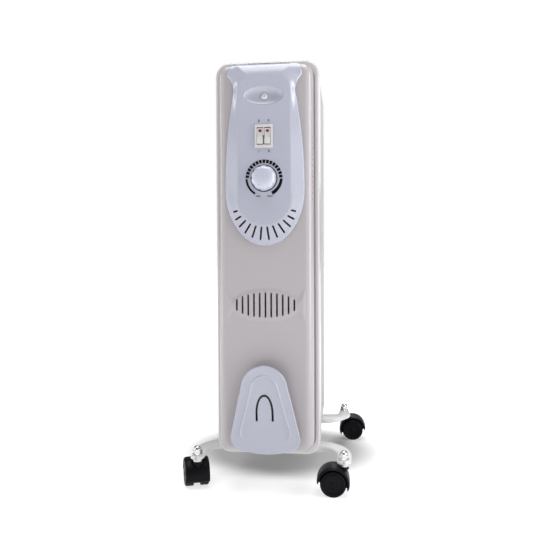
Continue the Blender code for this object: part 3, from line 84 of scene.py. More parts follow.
VENT_Z = COVER_TOP - 347 * MM

SCENE = bpy.context.scene
CAMERA_LENS = 43.79
CAMERA_PLACE = (0.1143, -1.1182, 0.3688)
CAMERA_TURN = (88.43, 0.29, 6.91)
FLOOR_SIZE = 12.0
FLOOR_DROP = 0.2 * MM
WORLD_LIGHT = 0.14
# The floor's glow is painted light; it stays off inside an ellipse under the fins, which leaves a painted shadow
# there.
GLOW_ROUND_PAINTED_SHADOW = 0.66
FAR_PAINTED_FLOOR_GLOW = 0.55
PAINTED_SHADOW_MIDDLE_Y = -0.45
PAINTED_SHADOW_SQUEEZE = (6.5, 7.5, 0.0)


# ---------------------------------------------------------------- materials

def finish(name, color, roughness, grain=400.0, bump=0.03, depth=0.3 * MM, tint=0.03, spread=0.05,
           metallic=0.0, coat=0.0, cells=False, stretch=(1.0, 1.0, 1.0), shine=0.5):
    """Procedural finish: drifting colour, roughness that wanders a little, and a fine surface grain."""
    material = bpy.data.materials.new(name)
    material.use_nodes = True
    nodes = material.node_tree.nodes
    links = material.node_tree.links
    shader = nodes["Principled BSDF"]
    shader.inputs["Metallic"].default_value = metallic
    shader.inputs["Coat Weight"].default_value = coat
    shader.inputs["Coat Roughness"].default_value = 0.20
    shader.inputs["Specular IOR Level"].default_value = shine
    place = nodes.new("ShaderNodeTexCoord")
    scale = nodes.new("ShaderNodeMapping")
    scale.inputs["Scale"].default_value = stretch
    links.new(place.outputs["Object"], scale.inputs["Vector"])

    drift = nodes.new("ShaderNodeTexNoise")
    drift.inputs["Scale"].default_value = 9.0
    drift.inputs["Detail"].default_value = 4.0
    links.new(scale.outputs["Vector"], drift.inputs["Vector"])
    ramp = nodes.new("ShaderNodeValToRGB")
    ramp.color_ramp.elements[0].position = 0.3
    ramp.color_ramp.elements[1].position = 0.7
    ramp.color_ramp.elements[0].color = (*[c * (1 - tint) for c in color], 1)
    ramp.color_ramp.elements[1].color = (*[min(1.0, c * (1 + tint)) for c in color], 1)
    links.new(drift.outputs["Fac"], ramp.inputs["Fac"])
    links.new(ramp.outputs["Color"], shader.inputs["Base Color"])

    rough = nodes.new("ShaderNodeMapRange")
    rough.inputs["To Min"].default_value = roughness - spread
    rough.inputs["To Max"].default_value = roughness + spread
    wander = nodes.new("ShaderNodeTexNoise")
    wander.inputs["Scale"].default_value = 45.0
    wander.inputs["Detail"].default_value = 3.0
    links.new(scale.outputs["Vector"], wander.inputs["Vector"])
    links.new(wander.outputs["Fac"], rough.inputs["Value"])
    links.new(rough.outputs["Result"], shader.inputs["Roughness"])

    if cells:
        texture = nodes.new("ShaderNodeTexVoronoi")
        height = texture.outputs["Distance"]
    else:
        texture = nodes.new("ShaderNodeTexNoise")
        texture.inputs["Detail"].default_value = 2.0
        height = texture.outputs["Fac"]
    texture.inputs["Scale"].default_value = grain
    links.new(scale.outputs["Vector"], texture.inputs["Vector"])
    relief = nodes.new("ShaderNodeBump")
    relief.inputs["Strength"].default_value = bump
    relief.inputs["Distance"].default_value = depth
    links.new(height, relief.inputs["Height"])
    links.new(relief.outputs["Normal"], shader.inputs["Normal"])
    return material


LOOKS = {
    "radiator_paint": finish("satin_grey_paint", (0.50, 0.49, 0.495), 0.34, grain=900, bump=0.03,
                             depth=0.1 * MM, tint=0.01, spread=0.03, coat=0.2),
    "cover_paint": finish("gloss_grey_enamel", (0.38, 0.355, 0.371), 0.30, grain=900, bump=0.008,
                          depth=0.1 * MM, tint=0.008, spread=0.01, coat=0.3),
    "fascia_plastic": finish("blue_grey_lacquer", (0.375, 0.385, 0.46), 0.24, grain=2600, bump=0.04,
                             depth=0.1 * MM, tint=0.01, spread=0.02, coat=0.45, cells=True),
    "knob_plastic": finish("silver_blue_lacquer", (0.47, 0.485, 0.58), 0.36, grain=2600, bump=0.04,
                           depth=0.1 * MM, metallic=0.15, coat=0.2, cells=True),
    "switch_plastic": finish("off_white_plastic", (0.52, 0.51, 0.50), 0.31, grain=1800, bump=0.05,
                             depth=0.1 * MM, spread=0.02, coat=0.2),
    "red_lens": finish("red_lens", (0.13, 0.003, 0.006), 0.12, grain=900, bump=0.1, tint=0.2, coat=0.8,
                       cells=True),
    "foot_paint": finish("foot_enamel", (0.66, 0.655, 0.66), 0.32, grain=900, bump=0.03, depth=0.1 * MM,
                         tint=0.01, spread=0.03, coat=0.25),
    "caster_plastic": finish("black_plastic", (0.004, 0.004, 0.006), 0.38, grain=1500, bump=0.10,
                             depth=0.15 * MM, tint=0.15, shine=0.10),
    "nut_chrome": finish("bright_chrome", (0.62, 0.605, 0.60), 0.19, grain=300, bump=0.01, spread=0.03,
                         metallic=1.0, stretch=(1, 1, 4)),
    "zinc_steel": finish("zinc_plate", (0.55, 0.55, 0.56), 0.34, grain=500, bump=0.08, tint=0.08,
                         metallic=1.0, cells=True),
    "brass": finish("turned_brass", (0.70, 0.54, 0.25), 0.30, grain=900, bump=0.08, tint=0.08,
                    metallic=1.0, stretch=(1, 12, 1)),
    "moulded_phenolic": finish("moulded_phenolic", (0.08, 0.07, 0.06), 0.5, grain=1200, bump=0.15, tint=0.2),
    "grommet_rubber": finish("black_rubber", (0.015, 0.015, 0.015), 0.6, grain=1400, bump=0.2, tint=0.15),
}
INK = finish("black_print", (0.003, 0.003, 0.004), 0.6, grain=1500, bump=0.05, depth=0.05 * MM, tint=0.1,
             shine=0.1)
SCREW_ZINC = finish("pale_zinc_plate", (0.66, 0.66, 0.68), 0.48, grain=500, bump=0.05, tint=0.05,
                    metallic=0.55, cells=True)
# Black for painted shade: the shadow in the gap under the knob's rim and the shade in the rocker wells.
PAINTED_SHADE_BLACK = finish("painted_shade_black", (0.006, 0.006, 0.007), 0.75, grain=900, bump=0.1, tint=0.2)


# ---------------------------------------------------------------- mesh helpers

def smooth(t):
    t = min(1.0, max(0.0, t))
    return t * t * (3 - 2 * t)


def mix(a, b, t):
    return a + (b - a) * t


def mesh_of(name, bm):
    mesh = bpy.data.meshes.new(name)
    bm.to_mesh(mesh)
    bm.free()
    return mesh


def show(name, bm, slot, body="radiator", nodes=(), angle=35.0, material=None):
    """Put a finished mesh in the scene as a piece that rides on a body and stands for CAD nodes."""
    piece = bpy.data.objects.new(name, mesh_of(name, bm))
    SCENE.collection.objects.link(piece)
    piece.data.materials.append(material or LOOKS[slot])
    shade(piece, angle)
    if nodes:
        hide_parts(*nodes)
    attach(piece, body)
    return piece


def shade(piece, angle=35.0):
    piece.data.shade_smooth()
    piece.data.set_sharp_from_angle(angle=math.radians(angle))


def settle(piece, angle=35.0):
    """Make the result of the piece's modifiers its mesh."""
    bpy.context.view_layer.update()
    seen = piece.evaluated_get(bpy.context.evaluated_depsgraph_get())
    mesh = bpy.data.meshes.new_from_object(seen)
    piece.modifiers.clear()
    piece.data = mesh
    shade(piece, angle)


def carve(piece, cutter, operation='DIFFERENCE', angle=35.0):
    """Cut a closed mesh out of the piece, or weld it on."""
    tool = bpy.data.objects.new("carving_tool", mesh_of("carving_tool", cutter))
    SCENE.collection.objects.link(tool)
    step = piece.modifiers.new("carve", 'BOOLEAN')
    step.operation = operation
    step.object = tool
    settle(piece, angle)
    bpy.data.objects.remove(tool, do_unlink=True)


def thicken(piece, depth):
    wall = piece.modifiers.new("wall", 'SOLIDIFY')
    wall.thickness = depth
    wall.offset = -1.0
    wall.use_even_offset = True
    settle(piece)


def loft(rings, start_cap=False, end_cap=False, closed=False):
    """Skin of quads over rings with equal numbers of points."""
    bm = bmesh.new()
    rows = [[bm.verts.new(point) for point in ring] for ring in rings]
    pairs = list(zip(rows, rows[1:]))
    if closed:
        pairs.append((rows[-1], rows[0]))
    count = len(rows[0])
    for first, second in pairs:
        for i in range(count):
            j = (i + 1) % count
            bm.faces.new((first[i], first[j], second[j], second[i]))
    if start_cap:
        bm.faces.new(list(reversed(rows[0])))
    if end_cap:
        bm.faces.new(rows[-1])
    bmesh.ops.remove_doubles(bm, verts=bm.verts[:], dist=1e-6)
    bmesh.ops.recalc_face_normals(bm, faces=bm.faces[:])
    return bm


def turn_front(bm):
    """Make an open skin face the control end."""
    foremost = min(bm.faces, key=lambda face: face.calc_center_median().y)
    if foremost.normal.y > 0:
        bmesh.ops.reverse_faces(bm, faces=bm.faces[:])
    return bm


def merged(*meshes):
    """One mesh of several closed shells."""
    whole = bmesh.new()
    for bm in meshes:
        part = mesh_of("shell", bm)
        whole.from_mesh(part)
        bpy.data.meshes.remove(part)
    return whole


def moved(bm, matrix):
    bmesh.ops.transform(bm, matrix=matrix, verts=bm.verts[:])
    return bm


def turned(profile, steps=48, place=Matrix.Identity(4)):
    """Closed shell turned from an (r, h) profile that starts and ends on the Z axis."""
    rings = []
    for radius, height in profile:
        rings.append([(radius * math.cos(TAU * i / steps), radius * math.sin(TAU * i / steps), height)
                      for i in range(steps)])
    return moved(loft(rings), place)


def turned_ring(profile, steps=48, place=Matrix.Identity(4)):
    """Closed ring turned from a closed (r, h) profile."""
    rings = []
    for i in range(steps):
        angle = TAU * i / steps
        rings.append([(r * math.cos(angle), r * math.sin(angle), h) for r, h in profile])
    return moved(loft(rings, closed=True), place)


def arc(centre, radii, start, sweep, steps):
    return [(centre[0] + radii[0] * math.cos(start + sweep * i / steps),
             centre[1] + radii[1] * math.sin(start + sweep * i / steps)) for i in range(steps + 1)]


def disc(radius, steps, centre=(0, 0)):
    """Outline of a round hole or pin, without a second point where it closes."""
    return arc(centre, (radius, radius), 0, TAU, steps)[:-1]


def middle_of(node):
    low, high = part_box(node)
    return (low + high) / 2


def over(centre):
    """Placement on an upright axis through a centre."""
    return Matrix.Translation((centre.x, centre.y, 0))


def prism(outline, low, high, place=Matrix.Identity(4), edge=0.0):
    """Closed prism over an (x, y) outline from one height to another, its rims rounded by an edge."""
    middle = Vector((sum(p[0] for p in outline), sum(p[1] for p in outline))) / len(outline)
    levels = [(low, 0.0), (high, 0.0)]
    if edge:
        levels = [(low, edge), (low + edge * 0.3, edge * 0.3), (low + edge, 0.0),
                  (high - edge, 0.0), (high - edge * 0.3, edge * 0.3), (high, edge)]
    rings = []
    for height, inset in levels:
        ring = []
        for x, y in outline:
            away = Vector((x, y)) - middle
            spot = middle + away * (1 - inset / max(away.length, 1e-6))
            ring.append((spot.x, spot.y, height))
        rings.append(ring)
    return moved(loft(rings, start_cap=True, end_cap=True), place)


def deep_shape(outline, place, low, high):
    """Prism over an outline that may be hollow-sided."""
    bm = bmesh.new()
    near = [bm.verts.new((x, y, low)) for x, y in outline]
    far = [bm.verts.new((x, y, high)) for x, y in outline]
    count = len(outline)
    for i in range(count):
        j = (i + 1) % count
        bm.faces.new((near[i], near[j], far[j], far[i]))
    bm.faces.new(list(reversed(near)))
    bm.faces.new(far)
    bmesh.ops.triangulate(bm, faces=bm.faces[:])
    bmesh.ops.recalc_face_normals(bm, faces=bm.faces[:])
    return moved(bm, place)


def block(low, high, edge=0.0, steps=3):
    bm = bmesh.new()
    bmesh.ops.create_cube(bm, size=1.0)
    for vertex in bm.verts:
        vertex.co = [mix(low[i], high[i], vertex.co[i] + 0.5) for i in range(3)]
    if edge:
        bmesh.ops.bevel(bm, geom=bm.edges[:], offset=edge, segments=steps, profile=0.5, affect='EDGES')
    return bm


def stadium(length, width, steps=6):
    """Outline of a slot with round ends, long in Y."""
    radius = width / 2
    reach = length / 2 - radius
    return (arc((0, reach), (radius, radius), 0, math.pi, steps)
            + arc((0, -reach), (radius, radius), math.pi, math.pi, steps))


FRONTAL = Matrix.Rotation(math.pi / 2, 4, 'X')
SIDEWAYS = Matrix(((1, 0, 0, 0), (0, 0, 1, 0), (0, 1, 0, 0), (0, 0, 0, 1)))


def frontal(x, y, z):
    """Placement whose X and Y axes run along world X and Z, and whose Z axis points out of the front."""
    return Matrix.Translation((x, y, z)) @ FRONTAL


def rectangle_ring(half, low, high, radii, inset=0.0, step=6 * MM, corner_steps=8, like=None):
    """(x, z) points round a rectangle with rounded (top, bottom) corners, moved inwards by an inset.

    With a size to be like, the ring has as many points as one of that (half width, height).
    """
    across = max(2, round(2 * (like[0] if like else half) / step))
    along = max(2, round((like[1] if like else high - low) / step))
    half = half - inset
    low = low + inset
    high = high - inset
    top, bottom = (max(radius - inset, 0.0) for radius in radii)
    points = arc((half - bottom, low + bottom), (bottom, bottom), -math.pi / 2, math.pi / 2, corner_steps)
    points += [(half, mix(low + bottom, high - top, i / along)) for i in range(1, along)]
    points += arc((half - top, high - top), (top, top), 0, math.pi / 2, corner_steps)
    points += [(mix(half - top, -half + top, i / across), high) for i in range(1, across)]
    points += arc((-half + top, high - top), (top, top), math.pi / 2, math.pi / 2, corner_steps)
    points += [(-half, mix(high - top, low + bottom, i / along)) for i in range(1, along)]
    points += arc((-half + bottom, low + bottom), (bottom, bottom), math.pi, math.pi / 2, corner_steps)
    points += [(mix(-half + bottom, half - bottom, i / across), low) for i in range(1, across)]
    return points


def upright(ring, y):
    return [(x, y, z) for x, z in ring]


# ---------------------------------------------------------------- radiator fins

FIN_NODES = [f"fin_{i}" for i in range(1, 8)]
FIN_LOW, FIN_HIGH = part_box("fin_2")
FIN_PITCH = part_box("fin_3")[0].y - FIN_LOW.y
FIN_RIM = 0.9 * MM
FIN_CORNER = 16 * MM
TUBE_RISE = 4.1 * MM
HEADER_RADIUS = 24 * MM
HEADER_INSET = 40 * MM


def fin_rise(x, z):
    """Height of the pressed oil channels above the flange: three upright tubes, joined at both ends."""
    side_margin, end_margin, corner, slope = 27 * MM, 18 * MM, 24 * MM, 7 * MM
    web_x, web_margin, web_half = 16 * MM, 72 * MM, 5.5 * MM
    half = FIN_HIGH.x - side_margin
    low = FIN_LOW.z + end_margin
    high = FIN_HIGH.z - end_margin
    dx = max(abs(x) - (half - corner), 0.0)
    dz = max(max(low + corner - z, z - (high - corner)), 0.0)
    edge = corner - math.hypot(dx, dz)
    rise = TUBE_RISE * smooth(edge / slope)
    past = max(abs(z - (low + high) / 2) - ((high - low) / 2 - web_margin), 0.0)
    for web in (-web_x, web_x):
        near = math.hypot(x - web, past) / web_half
        rise -= 0.8 * TUBE_RISE * (1 - smooth(near)) * smooth(edge / slope)
    return rise


def fin_shell():
    """One fin about Y = 0: two pressed sheets, hemmed together round the rim."""
    half = FIN_HIGH.x
    insets = [0.0, 0.3 * MM, 0.9 * MM, 3 * MM, 6 * MM]
    step = 2.6 * MM
    while insets[-1] + step < half - MM:
        insets.append(insets[-1] + step)
    insets.append(half)
    hem = {0.0: 0.0, 0.3 * MM: FIN_RIM * 0.75}
    face = []
    for inset in insets:
        ring = rectangle_ring(half, FIN_LOW.z, FIN_HIGH.z, (FIN_CORNER, FIN_CORNER), inset, 7 * MM, 6)
        face.append([(x, hem.get(inset, FIN_RIM + fin_rise(x, z)), z) for x, z in ring])
    far = [[(x, -y, z) for x, y, z in ring] for ring in face]
    return loft(list(reversed(far)) + face[1:])


def header_boss(level, to_front, to_back):
    """Round neck between two fins, flared where it leaves the sheet, with the weld at its end."""
    flare = 5 * MM
    rings = []
    for end in (-to_front, to_back):
        sign = math.copysign(1.0, end)
        reach = abs(end)
        rings.append([(0.0, sign * reach), (HEADER_RADIUS - 1.2 * MM, sign * reach),
                      (HEADER_RADIUS - 0.4 * MM, sign * (reach - 0.3 * MM)),
                      (HEADER_RADIUS, sign * (reach - 1.2 * MM)),
                      (HEADER_RADIUS, sign * (reach - 4 * MM)), (HEADER_RADIUS, sign * 10 * MM),
                      (HEADER_RADIUS + flare * 0.3, sign * 7.5 * MM),
                      (HEADER_RADIUS + flare, sign * 5.2 * MM), (HEADER_RADIUS + flare, 0.0)])
    profile = rings[1] + list(reversed(rings[0]))[1:]
    return turned(profile, 48, frontal(0, 0, level))


def make_fins():
    levels = (FIN_LOW.z + HEADER_INSET, FIN_HIGH.z - HEADER_INSET)
    reach = FIN_PITCH / 2 - TOUCH
    shared = None
    for node in FIN_NODES:
        is_last = node == FIN_NODES[-1]
        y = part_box(node)[0].y + FIN_PITCH / 2 - TOUCH
        fin = show(node + "_pressing", fin_shell() if shared is None or is_last else bmesh.new(),
                   "radiator_paint", nodes=[node])
        if shared is None or is_last:
            for level in levels:
                front, back = (reach, 9.5 * MM) if is_last else (reach, reach)
                carve(fin, header_boss(level, back, front), 'UNION', 40)
            if not is_last:
                shared = fin.data.copy()
        else:
            fin.data = shared.copy()
        fin.data.transform(Matrix.Translation((0, y, 0)))


# ---------------------------------------------------------------- control housing and cover

def side_holes(y, rows=12, pitch=8 * MM, radius=1.2 * MM, steps=12):
    """A column of small holes through both side walls."""
    drills = []
    for i in range(rows):
        level = COVER_TOP - 106 * MM - i * pitch
        place = Matrix.Translation((0, y, level)) @ Matrix.Rotation(math.pi / 2, 4, 'Y')
        drills.append(prism(disc(radius, steps), -0.1, 0.1, place))
    return merged(*drills)


def housing_ring(inset, y):
    return upright(rectangle_ring(HOUSING_HIGH.x, HOUSING_LOW.z, HOUSING_HIGH.z,
                                  (21 * MM, 18 * MM), inset), y)


def lip_ring(inset, y):
    """The edge of the lip's opening, with as many points as the housing's own outline."""
    corner = COVER_CORNER + LIP_GAP
    like = (HOUSING_HIGH.x, HOUSING_HIGH.z - HOUSING_LOW.z)
    return upright(rectangle_ring(COVER_HALF + LIP_GAP, COVER_LOW - LIP_GAP, COVER_TOP + LIP_GAP,
                                  (corner, corner), inset, like=like), y)


def make_housing():
    """Folded sheet box whose front lip frames the cover."""
    front, back, edge = HOUSING_LOW.y, HOUSING_HIGH.y, 3 * MM
    rings = [housing_ring(1.0 * MM, back), housing_ring(0.3 * MM, back - 0.3 * MM),
             housing_ring(0.0, back - 1.0 * MM)]
    for i in range(1, 8):
        rings.append(housing_ring(0.0, mix(back, front + edge, i / 7)))
    for i in range(1, 7):
        angle = math.pi / 2 * i / 6
        rings.append(housing_ring(edge * (1 - math.cos(angle)), front + edge * (1 - math.sin(angle))))
    for inset, y in ((-0.5 * MM, front), (-0.15 * MM, front + 0.15 * MM), (0.0, front + 0.5 * MM)):
        rings.append(lip_ring(inset, y))
    housing = show("control_housing_shell", turn_front(loft(rings, start_cap=True)),
                   "radiator_paint", nodes=["control_housing"])
    thicken(housing, SHEET * 0.9)
    slot_half, slot_top = 28.5 * MM, COVER_TOP + 8.1 * MM
    carve(housing, block((-slot_half, front - MM, COVER_TOP - MM), (slot_half, front + 4 * MM, slot_top),
                         1.2 * MM))
    carve(housing, side_holes(front + 4.5 * MM))
    low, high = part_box("cord_grommet")
    carve(housing, prism(disc(6 * MM, 32, middle_of("cord_grommet")), low.z - MM, high.z + MM))


def cover_rise(x, z):
    """Embossed ellipse round the middle vents, whose ends flow out into the cover's rounded sides."""
    height, half_x, half_z = 1.0 * MM, 47.5 * MM, 22 * MM
    reach = math.hypot(x / half_x, (z - VENT_Z) / half_z)
    inside = (1 - reach) * half_z
    out = abs(x) - 44 * MM
    flare = -1.0
    if out > 0:
        flare = (4 * MM + 24 * MM * (out / (14 * MM)) ** 2) - abs(z - VENT_Z)
    return height * smooth(0.5 + max(inside, flare) / (3.5 * MM))


def make_cover():
    """Deep-drawn cover with a wide rounded edge, a vent field and a return flange behind the lip."""
    outline = (COVER_HALF, COVER_LOW, COVER_TOP, (COVER_CORNER, COVER_CORNER))
    step = 2.5 * MM

    def ring(inset, y):
        return upright(rectangle_ring(*outline, inset, step), y)

    rings = [ring(-COVER_RETURN + MM, COVER_BACK), ring(-0.8 * MM, COVER_BACK),
             ring(-0.2 * MM, COVER_BACK - 0.2 * MM), ring(0.0, COVER_BACK - 0.8 * MM)]
    face_start = COVER_FRONT + COVER_EDGE
    for i in range(1, 6):
        rings.append(ring(0.0, mix(COVER_BACK - 0.8 * MM, face_start, i / 5)))
    for i in range(1, 13):
        angle = math.pi / 2 * i / 12
        rings.append(ring(COVER_EDGE * (1 - math.cos(angle)),
                          COVER_FRONT + COVER_EDGE * (1 - math.sin(angle))))
    insets = []
    inset = COVER_EDGE
    while inset + 1.6 * MM < COVER_HALF:
        inset += 1.5 * MM
        insets.append(inset)
    for inset in (*insets, COVER_HALF):
        flat = rectangle_ring(*outline, inset, step)
        rings.append([(x, COVER_FRONT - cover_rise(x, z), z) for x, z in flat])
    cover = show("front_cover_shell", turn_front(loft(rings)), "cover_paint", nodes=["front_cover"])
    thicken(cover, SHEET * 0.9)

    slots = []
    pitch, count, longest, width = 8.36 * MM, 11, 2 * 18.2 * MM, 2.5 * MM
    span = (count / 2 + 0.15) * pitch
    for index in range(count):
        x = (index - (count - 1) / 2) * pitch
        length = longest * math.sqrt(1 - (x / span) ** 2)
        slots.append(prism(stadium(length, width), -6 * MM, 6 * MM, frontal(x, COVER_FRONT, VENT_Z)))
    carve(cover, merged(*slots))
    carve(cover, side_holes(COVER_FRONT + 7.8 * MM))
    window = arc((0, FASCIA_LOW + 68 * MM), (50 * MM, 60 * MM), math.pi, math.pi, 24)
    carve(cover, prism(window, -6 * MM, 6 * MM, frontal(0, COVER_FRONT, 0)))


# ---------------------------------------------------------------- control fascia

EDGE_START = COVER_TOP - COVER_EDGE
EDGE_RUN = COVER_EDGE * math.pi / 2
PANEL_HALF = 38 * MM
PANEL_RISE = COVER_FRONT - PANEL_FRONT
LOBE_Z = COVER_TOP - 179.5 * MM
NECK_Z = COVER_TOP - 40.5 * MM
SHOULDER_Z = COVER_TOP - 18 * MM
PANEL_LOWER_Z = COVER_TOP - 192 * MM
PANEL_TOP_Z = COVER_TOP - 24 * MM
NECK_HALF = 44.5 * MM
HOLLOW_TOP = 0.462
SHOULDER_HALF = 54 * MM


def fascia_pairs():
    """Points of the right half from the lowest to the highest: (rim, panel edge, crispness, rim height)."""
    pairs = []
    for i in range(25):
        angle = -math.pi / 2 + math.pi / 2 * i / 24
        rim = (FASCIA_HALF * math.cos(angle), LOBE_Z + (LOBE_Z - FASCIA_LOW) * math.sin(angle))
        edge = (PANEL_HALF * math.cos(angle), PANEL_LOWER_Z + PANEL_HALF * math.sin(angle))
        pairs.append((rim, edge, smooth((i - 16) / 12), 4.2 * MM))
    for i in range(1, 33):
        t = i / 32
        rim = (NECK_HALF + (FASCIA_HALF - NECK_HALF) * (1 - t * t), mix(LOBE_Z, NECK_Z, t))
        edge = (PANEL_HALF, mix(PANEL_LOWER_Z, NECK_Z - 4 * MM, t))
        pairs.append((rim, edge, mix(smooth((i + 8) / 12), 0.35, smooth((t - 0.6) / 0.4)), 4.2 * MM))
    for i in range(1, 11):
        t = i / 10
        rim = (NECK_HALF + (SHOULDER_HALF - NECK_HALF) * t * t, mix(NECK_Z, SHOULDER_Z, t))
        turn = math.pi / 2 * t
        edge = (PANEL_HALF - 12 * MM * (1 - math.cos(turn)), NECK_Z - 4 * MM + 20 * MM * math.sin(turn))
        pairs.append((rim, edge, mix(0.35, 0.0, t), mix(4.2, 2.4, t) * MM))
    top = EDGE_START + EDGE_RUN
    for i in range(1, 13):
        t = i / 12
        rim = (SHOULDER_HALF - 4 * MM * smooth(t), mix(SHOULDER_Z, top, t))
        edge = (mix(PANEL_HALF - 12 * MM, 20 * MM, t), PANEL_TOP_Z + mix(-0.5, 0.5, t) * MM)
        pairs.append((rim, edge, 0.0, mix(2.4, 1.0, t) * MM))
    for i in range(1, 17):
        t = i / 16
        rim = (mix(SHOULDER_HALF - 4 * MM, 0.0, t), top)
        edge = (mix(20 * MM, 0.0, t), PANEL_TOP_Z + mix(0.5, 2.0, smooth(t)) * MM)
        pairs.append((rim, edge, 0.0, 1.0 * MM))
    return pairs


def on_cover(x, s, h):
    """A point at height h over the cover's face, s being the way up along the face and over its top."""
    if s <= EDGE_START:
        return (x, COVER_FRONT - h, s)
    turn = min((s - EDGE_START) / COVER_EDGE, math.pi / 2)
    reach = COVER_EDGE + h
    return (x, COVER_FRONT + COVER_EDGE - reach * math.cos(turn), EDGE_START + reach * math.sin(turn))


def fascia_rows():
    """Rings from the rim to the middle, each with (x, s, height, height of the underside)."""
    half = fascia_pairs()
    rows = []
    for t in (1.0, 0.99, 0.975, 0.955, 0.93, 0.9, 0.86, 0.8, 0.7, 0.6, 0.5, 0.4, 0.3, 0.2, 0.1, 0.04, 0.0):
        row = []
        for rim, edge, crisp, rim_height in half:
            x, s = mix(edge[0], rim[0], t), mix(edge[1], rim[1], t)
            fall = mix(smooth(t), t, crisp)
            height = mix(PANEL_RISE, rim_height, fall)
            if t > 0.9:
                height = mix(TOUCH, height, math.sqrt(max(0.0, 1 - ((t - 0.9) / 0.1) ** 2)))
            row.append((x, s, height))
        rows.append(row)
    spine_low, spine_high = PANEL_LOWER_Z, PANEL_TOP_Z - 12 * MM
    for step in range(1, 13):
        t = step / 12
        row = []
        for rim, edge, crisp, rim_height in half:
            goal = min(max(edge[1], spine_low), spine_high)
            row.append((edge[0] * (1 - t), mix(edge[1], goal, t), PANEL_RISE))
        rows.append(row)
    return rows


def both_sides(row):
    """Close a half row with its mirror image; the first and last points lie on the middle plane."""
    return row + [(-x, s, h) for x, s, h in reversed(row[1:-1])]


def both_flat(half):
    return half + [(-x, z) for x, z in reversed(half[1:-1])]


def make_fascia():
    """Lacquered moulding: flat middle panel, sloping flanks, round lobe, and a lip over the cover's top."""
    rows = [both_sides(row) for row in fascia_rows()]
    skin = 2 * MM
    front = [[on_cover(*point) for point in row] for row in rows]
    under = []
    for row in rows:
        ring = []
        for x, s, height in row:
            hollow = smooth((HOLLOW_TOP - s) / (20 * MM))
            ring.append(on_cover(x, s, max(TOUCH, mix(TOUCH, height - skin, hollow))))
        under.append(ring)
    fascia = show("control_fascia_moulding", loft(list(reversed(under)) + front), "fascia_plastic",
                  nodes=["control_fascia"])
    recess = bmesh.new()
    bmesh.ops.create_uvsphere(recess, u_segments=64, v_segments=32, radius=1.0)
    bowl = frontal(0, PANEL_FRONT, SCREW_Z) @ Matrix.Diagonal(
        (RECESS_HALF_X, RECESS_HALF_Z, RECESS_DEPTH, 1.0))
    carve(fascia, moved(recess, bowl))
    carve(fascia, prism(disc(5.8 * MM, 40), SCREW_SEAT, MM, frontal(0, PANEL_FRONT, SCREW_Z)))
    slots = []
    count, step, ring = 12, math.radians(13.6), 43.3 * MM
    for index in range(count):
        angle = (index - (count - 1) / 2) * step
        length = 19.5 * MM * math.cos(angle * 0.9)
        centre = (ring * math.sin(angle), COVER_TOP - 200.6 * MM - ring * math.cos(angle))
        place = frontal(centre[0], COVER_FRONT, centre[1]) @ Matrix.Rotation(angle, 4, 'Z')
        slots.append(prism(stadium(length, 2.7 * MM), -12 * MM, 16 * MM, place))
    carve(fascia, merged(*slots))
    half = (SWITCH_HIGH.x - 1.7 * MM, SWITCH_HIGH.z - SWITCH_Z - 1.7 * MM)
    carve(fascia, block((-half[0], PANEL_FRONT - MM, SWITCH_Z - half[1]),
                        (half[0], COVER_FRONT + MM, SWITCH_Z + half[1])))
    carve(fascia, prism(disc(4 * MM, 24), -20 * MM, 20 * MM, frontal(0, PANEL_FRONT, KNOB_Z)))


def make_fascia_screw():
    """Pan head screw with a cross recess, at the bottom of the oval recess."""
    low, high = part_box("fascia_screw")
    radius = high.x
    head = [(0.0, SCREW_HEAD), (radius * 0.45, 1.9 * MM), (radius * 0.8, 1.45 * MM),
            (radius * 0.97, 0.7 * MM), (radius, 0.25 * MM), (radius * 0.96, 0.0), (1.8 * MM, 0.0),
            (1.8 * MM, -9 * MM), (0.0, -11 * MM)]
    place = frontal(0, low.y + SCREW_HEAD, SCREW_Z)
    screw = show("fascia_screw_head", turned(head, 40, place), "zinc_steel", nodes=["fascia_screw"],
                 material=SCREW_ZINC)
    for wide, tall in ((5.4 * MM, 1.1 * MM), (1.1 * MM, 5.4 * MM)):
        carve(screw, block((-wide / 2, low.y - MM, SCREW_Z - tall / 2),
                           (wide / 2, low.y + 1.1 * MM, SCREW_Z + tall / 2)))


def ring_sector(inner, outer, start, sweep, steps, inner_end=None):
    """Outline of a piece of a ring; the inner radius may grow or shrink to its end value."""
    end = inner if inner_end is None else inner_end
    outside = arc((0, 0), (outer, outer), start, sweep, steps)
    inside = []
    for i in range(steps, -1, -1):
        radius = mix(inner, end, i / steps)
        angle = start + sweep * i / steps
        inside.append((radius * math.cos(angle), radius * math.sin(angle)))
    return outside + inside


def lettering(text, size, x, z):
    """Flat printed characters as a closed thin mesh."""
    curve = bpy.data.curves.new("lettering", 'FONT')
    curve.body = text
    curve.size = size
    curve.align_x = 'CENTER'
    curve.align_y = 'CENTER'
    curve.extrude = TOUCH / 2
    curve.resolution_u = 3
    guide = bpy.data.objects.new("lettering", curve)
    SCENE.collection.objects.link(guide)
    bpy.context.view_layer.update()
    mesh = bpy.data.meshes.new_from_object(guide.evaluated_get(bpy.context.evaluated_depsgraph_get()))
    bm = bmesh.new()
    bm.from_mesh(mesh)
    bmesh.ops.remove_doubles(bm, verts=bm.verts[:], dist=1e-7)
    bpy.data.objects.remove(guide, do_unlink=True)
    return moved(bm, frontal(x, PANEL_FRONT - TOUCH / 2, z))


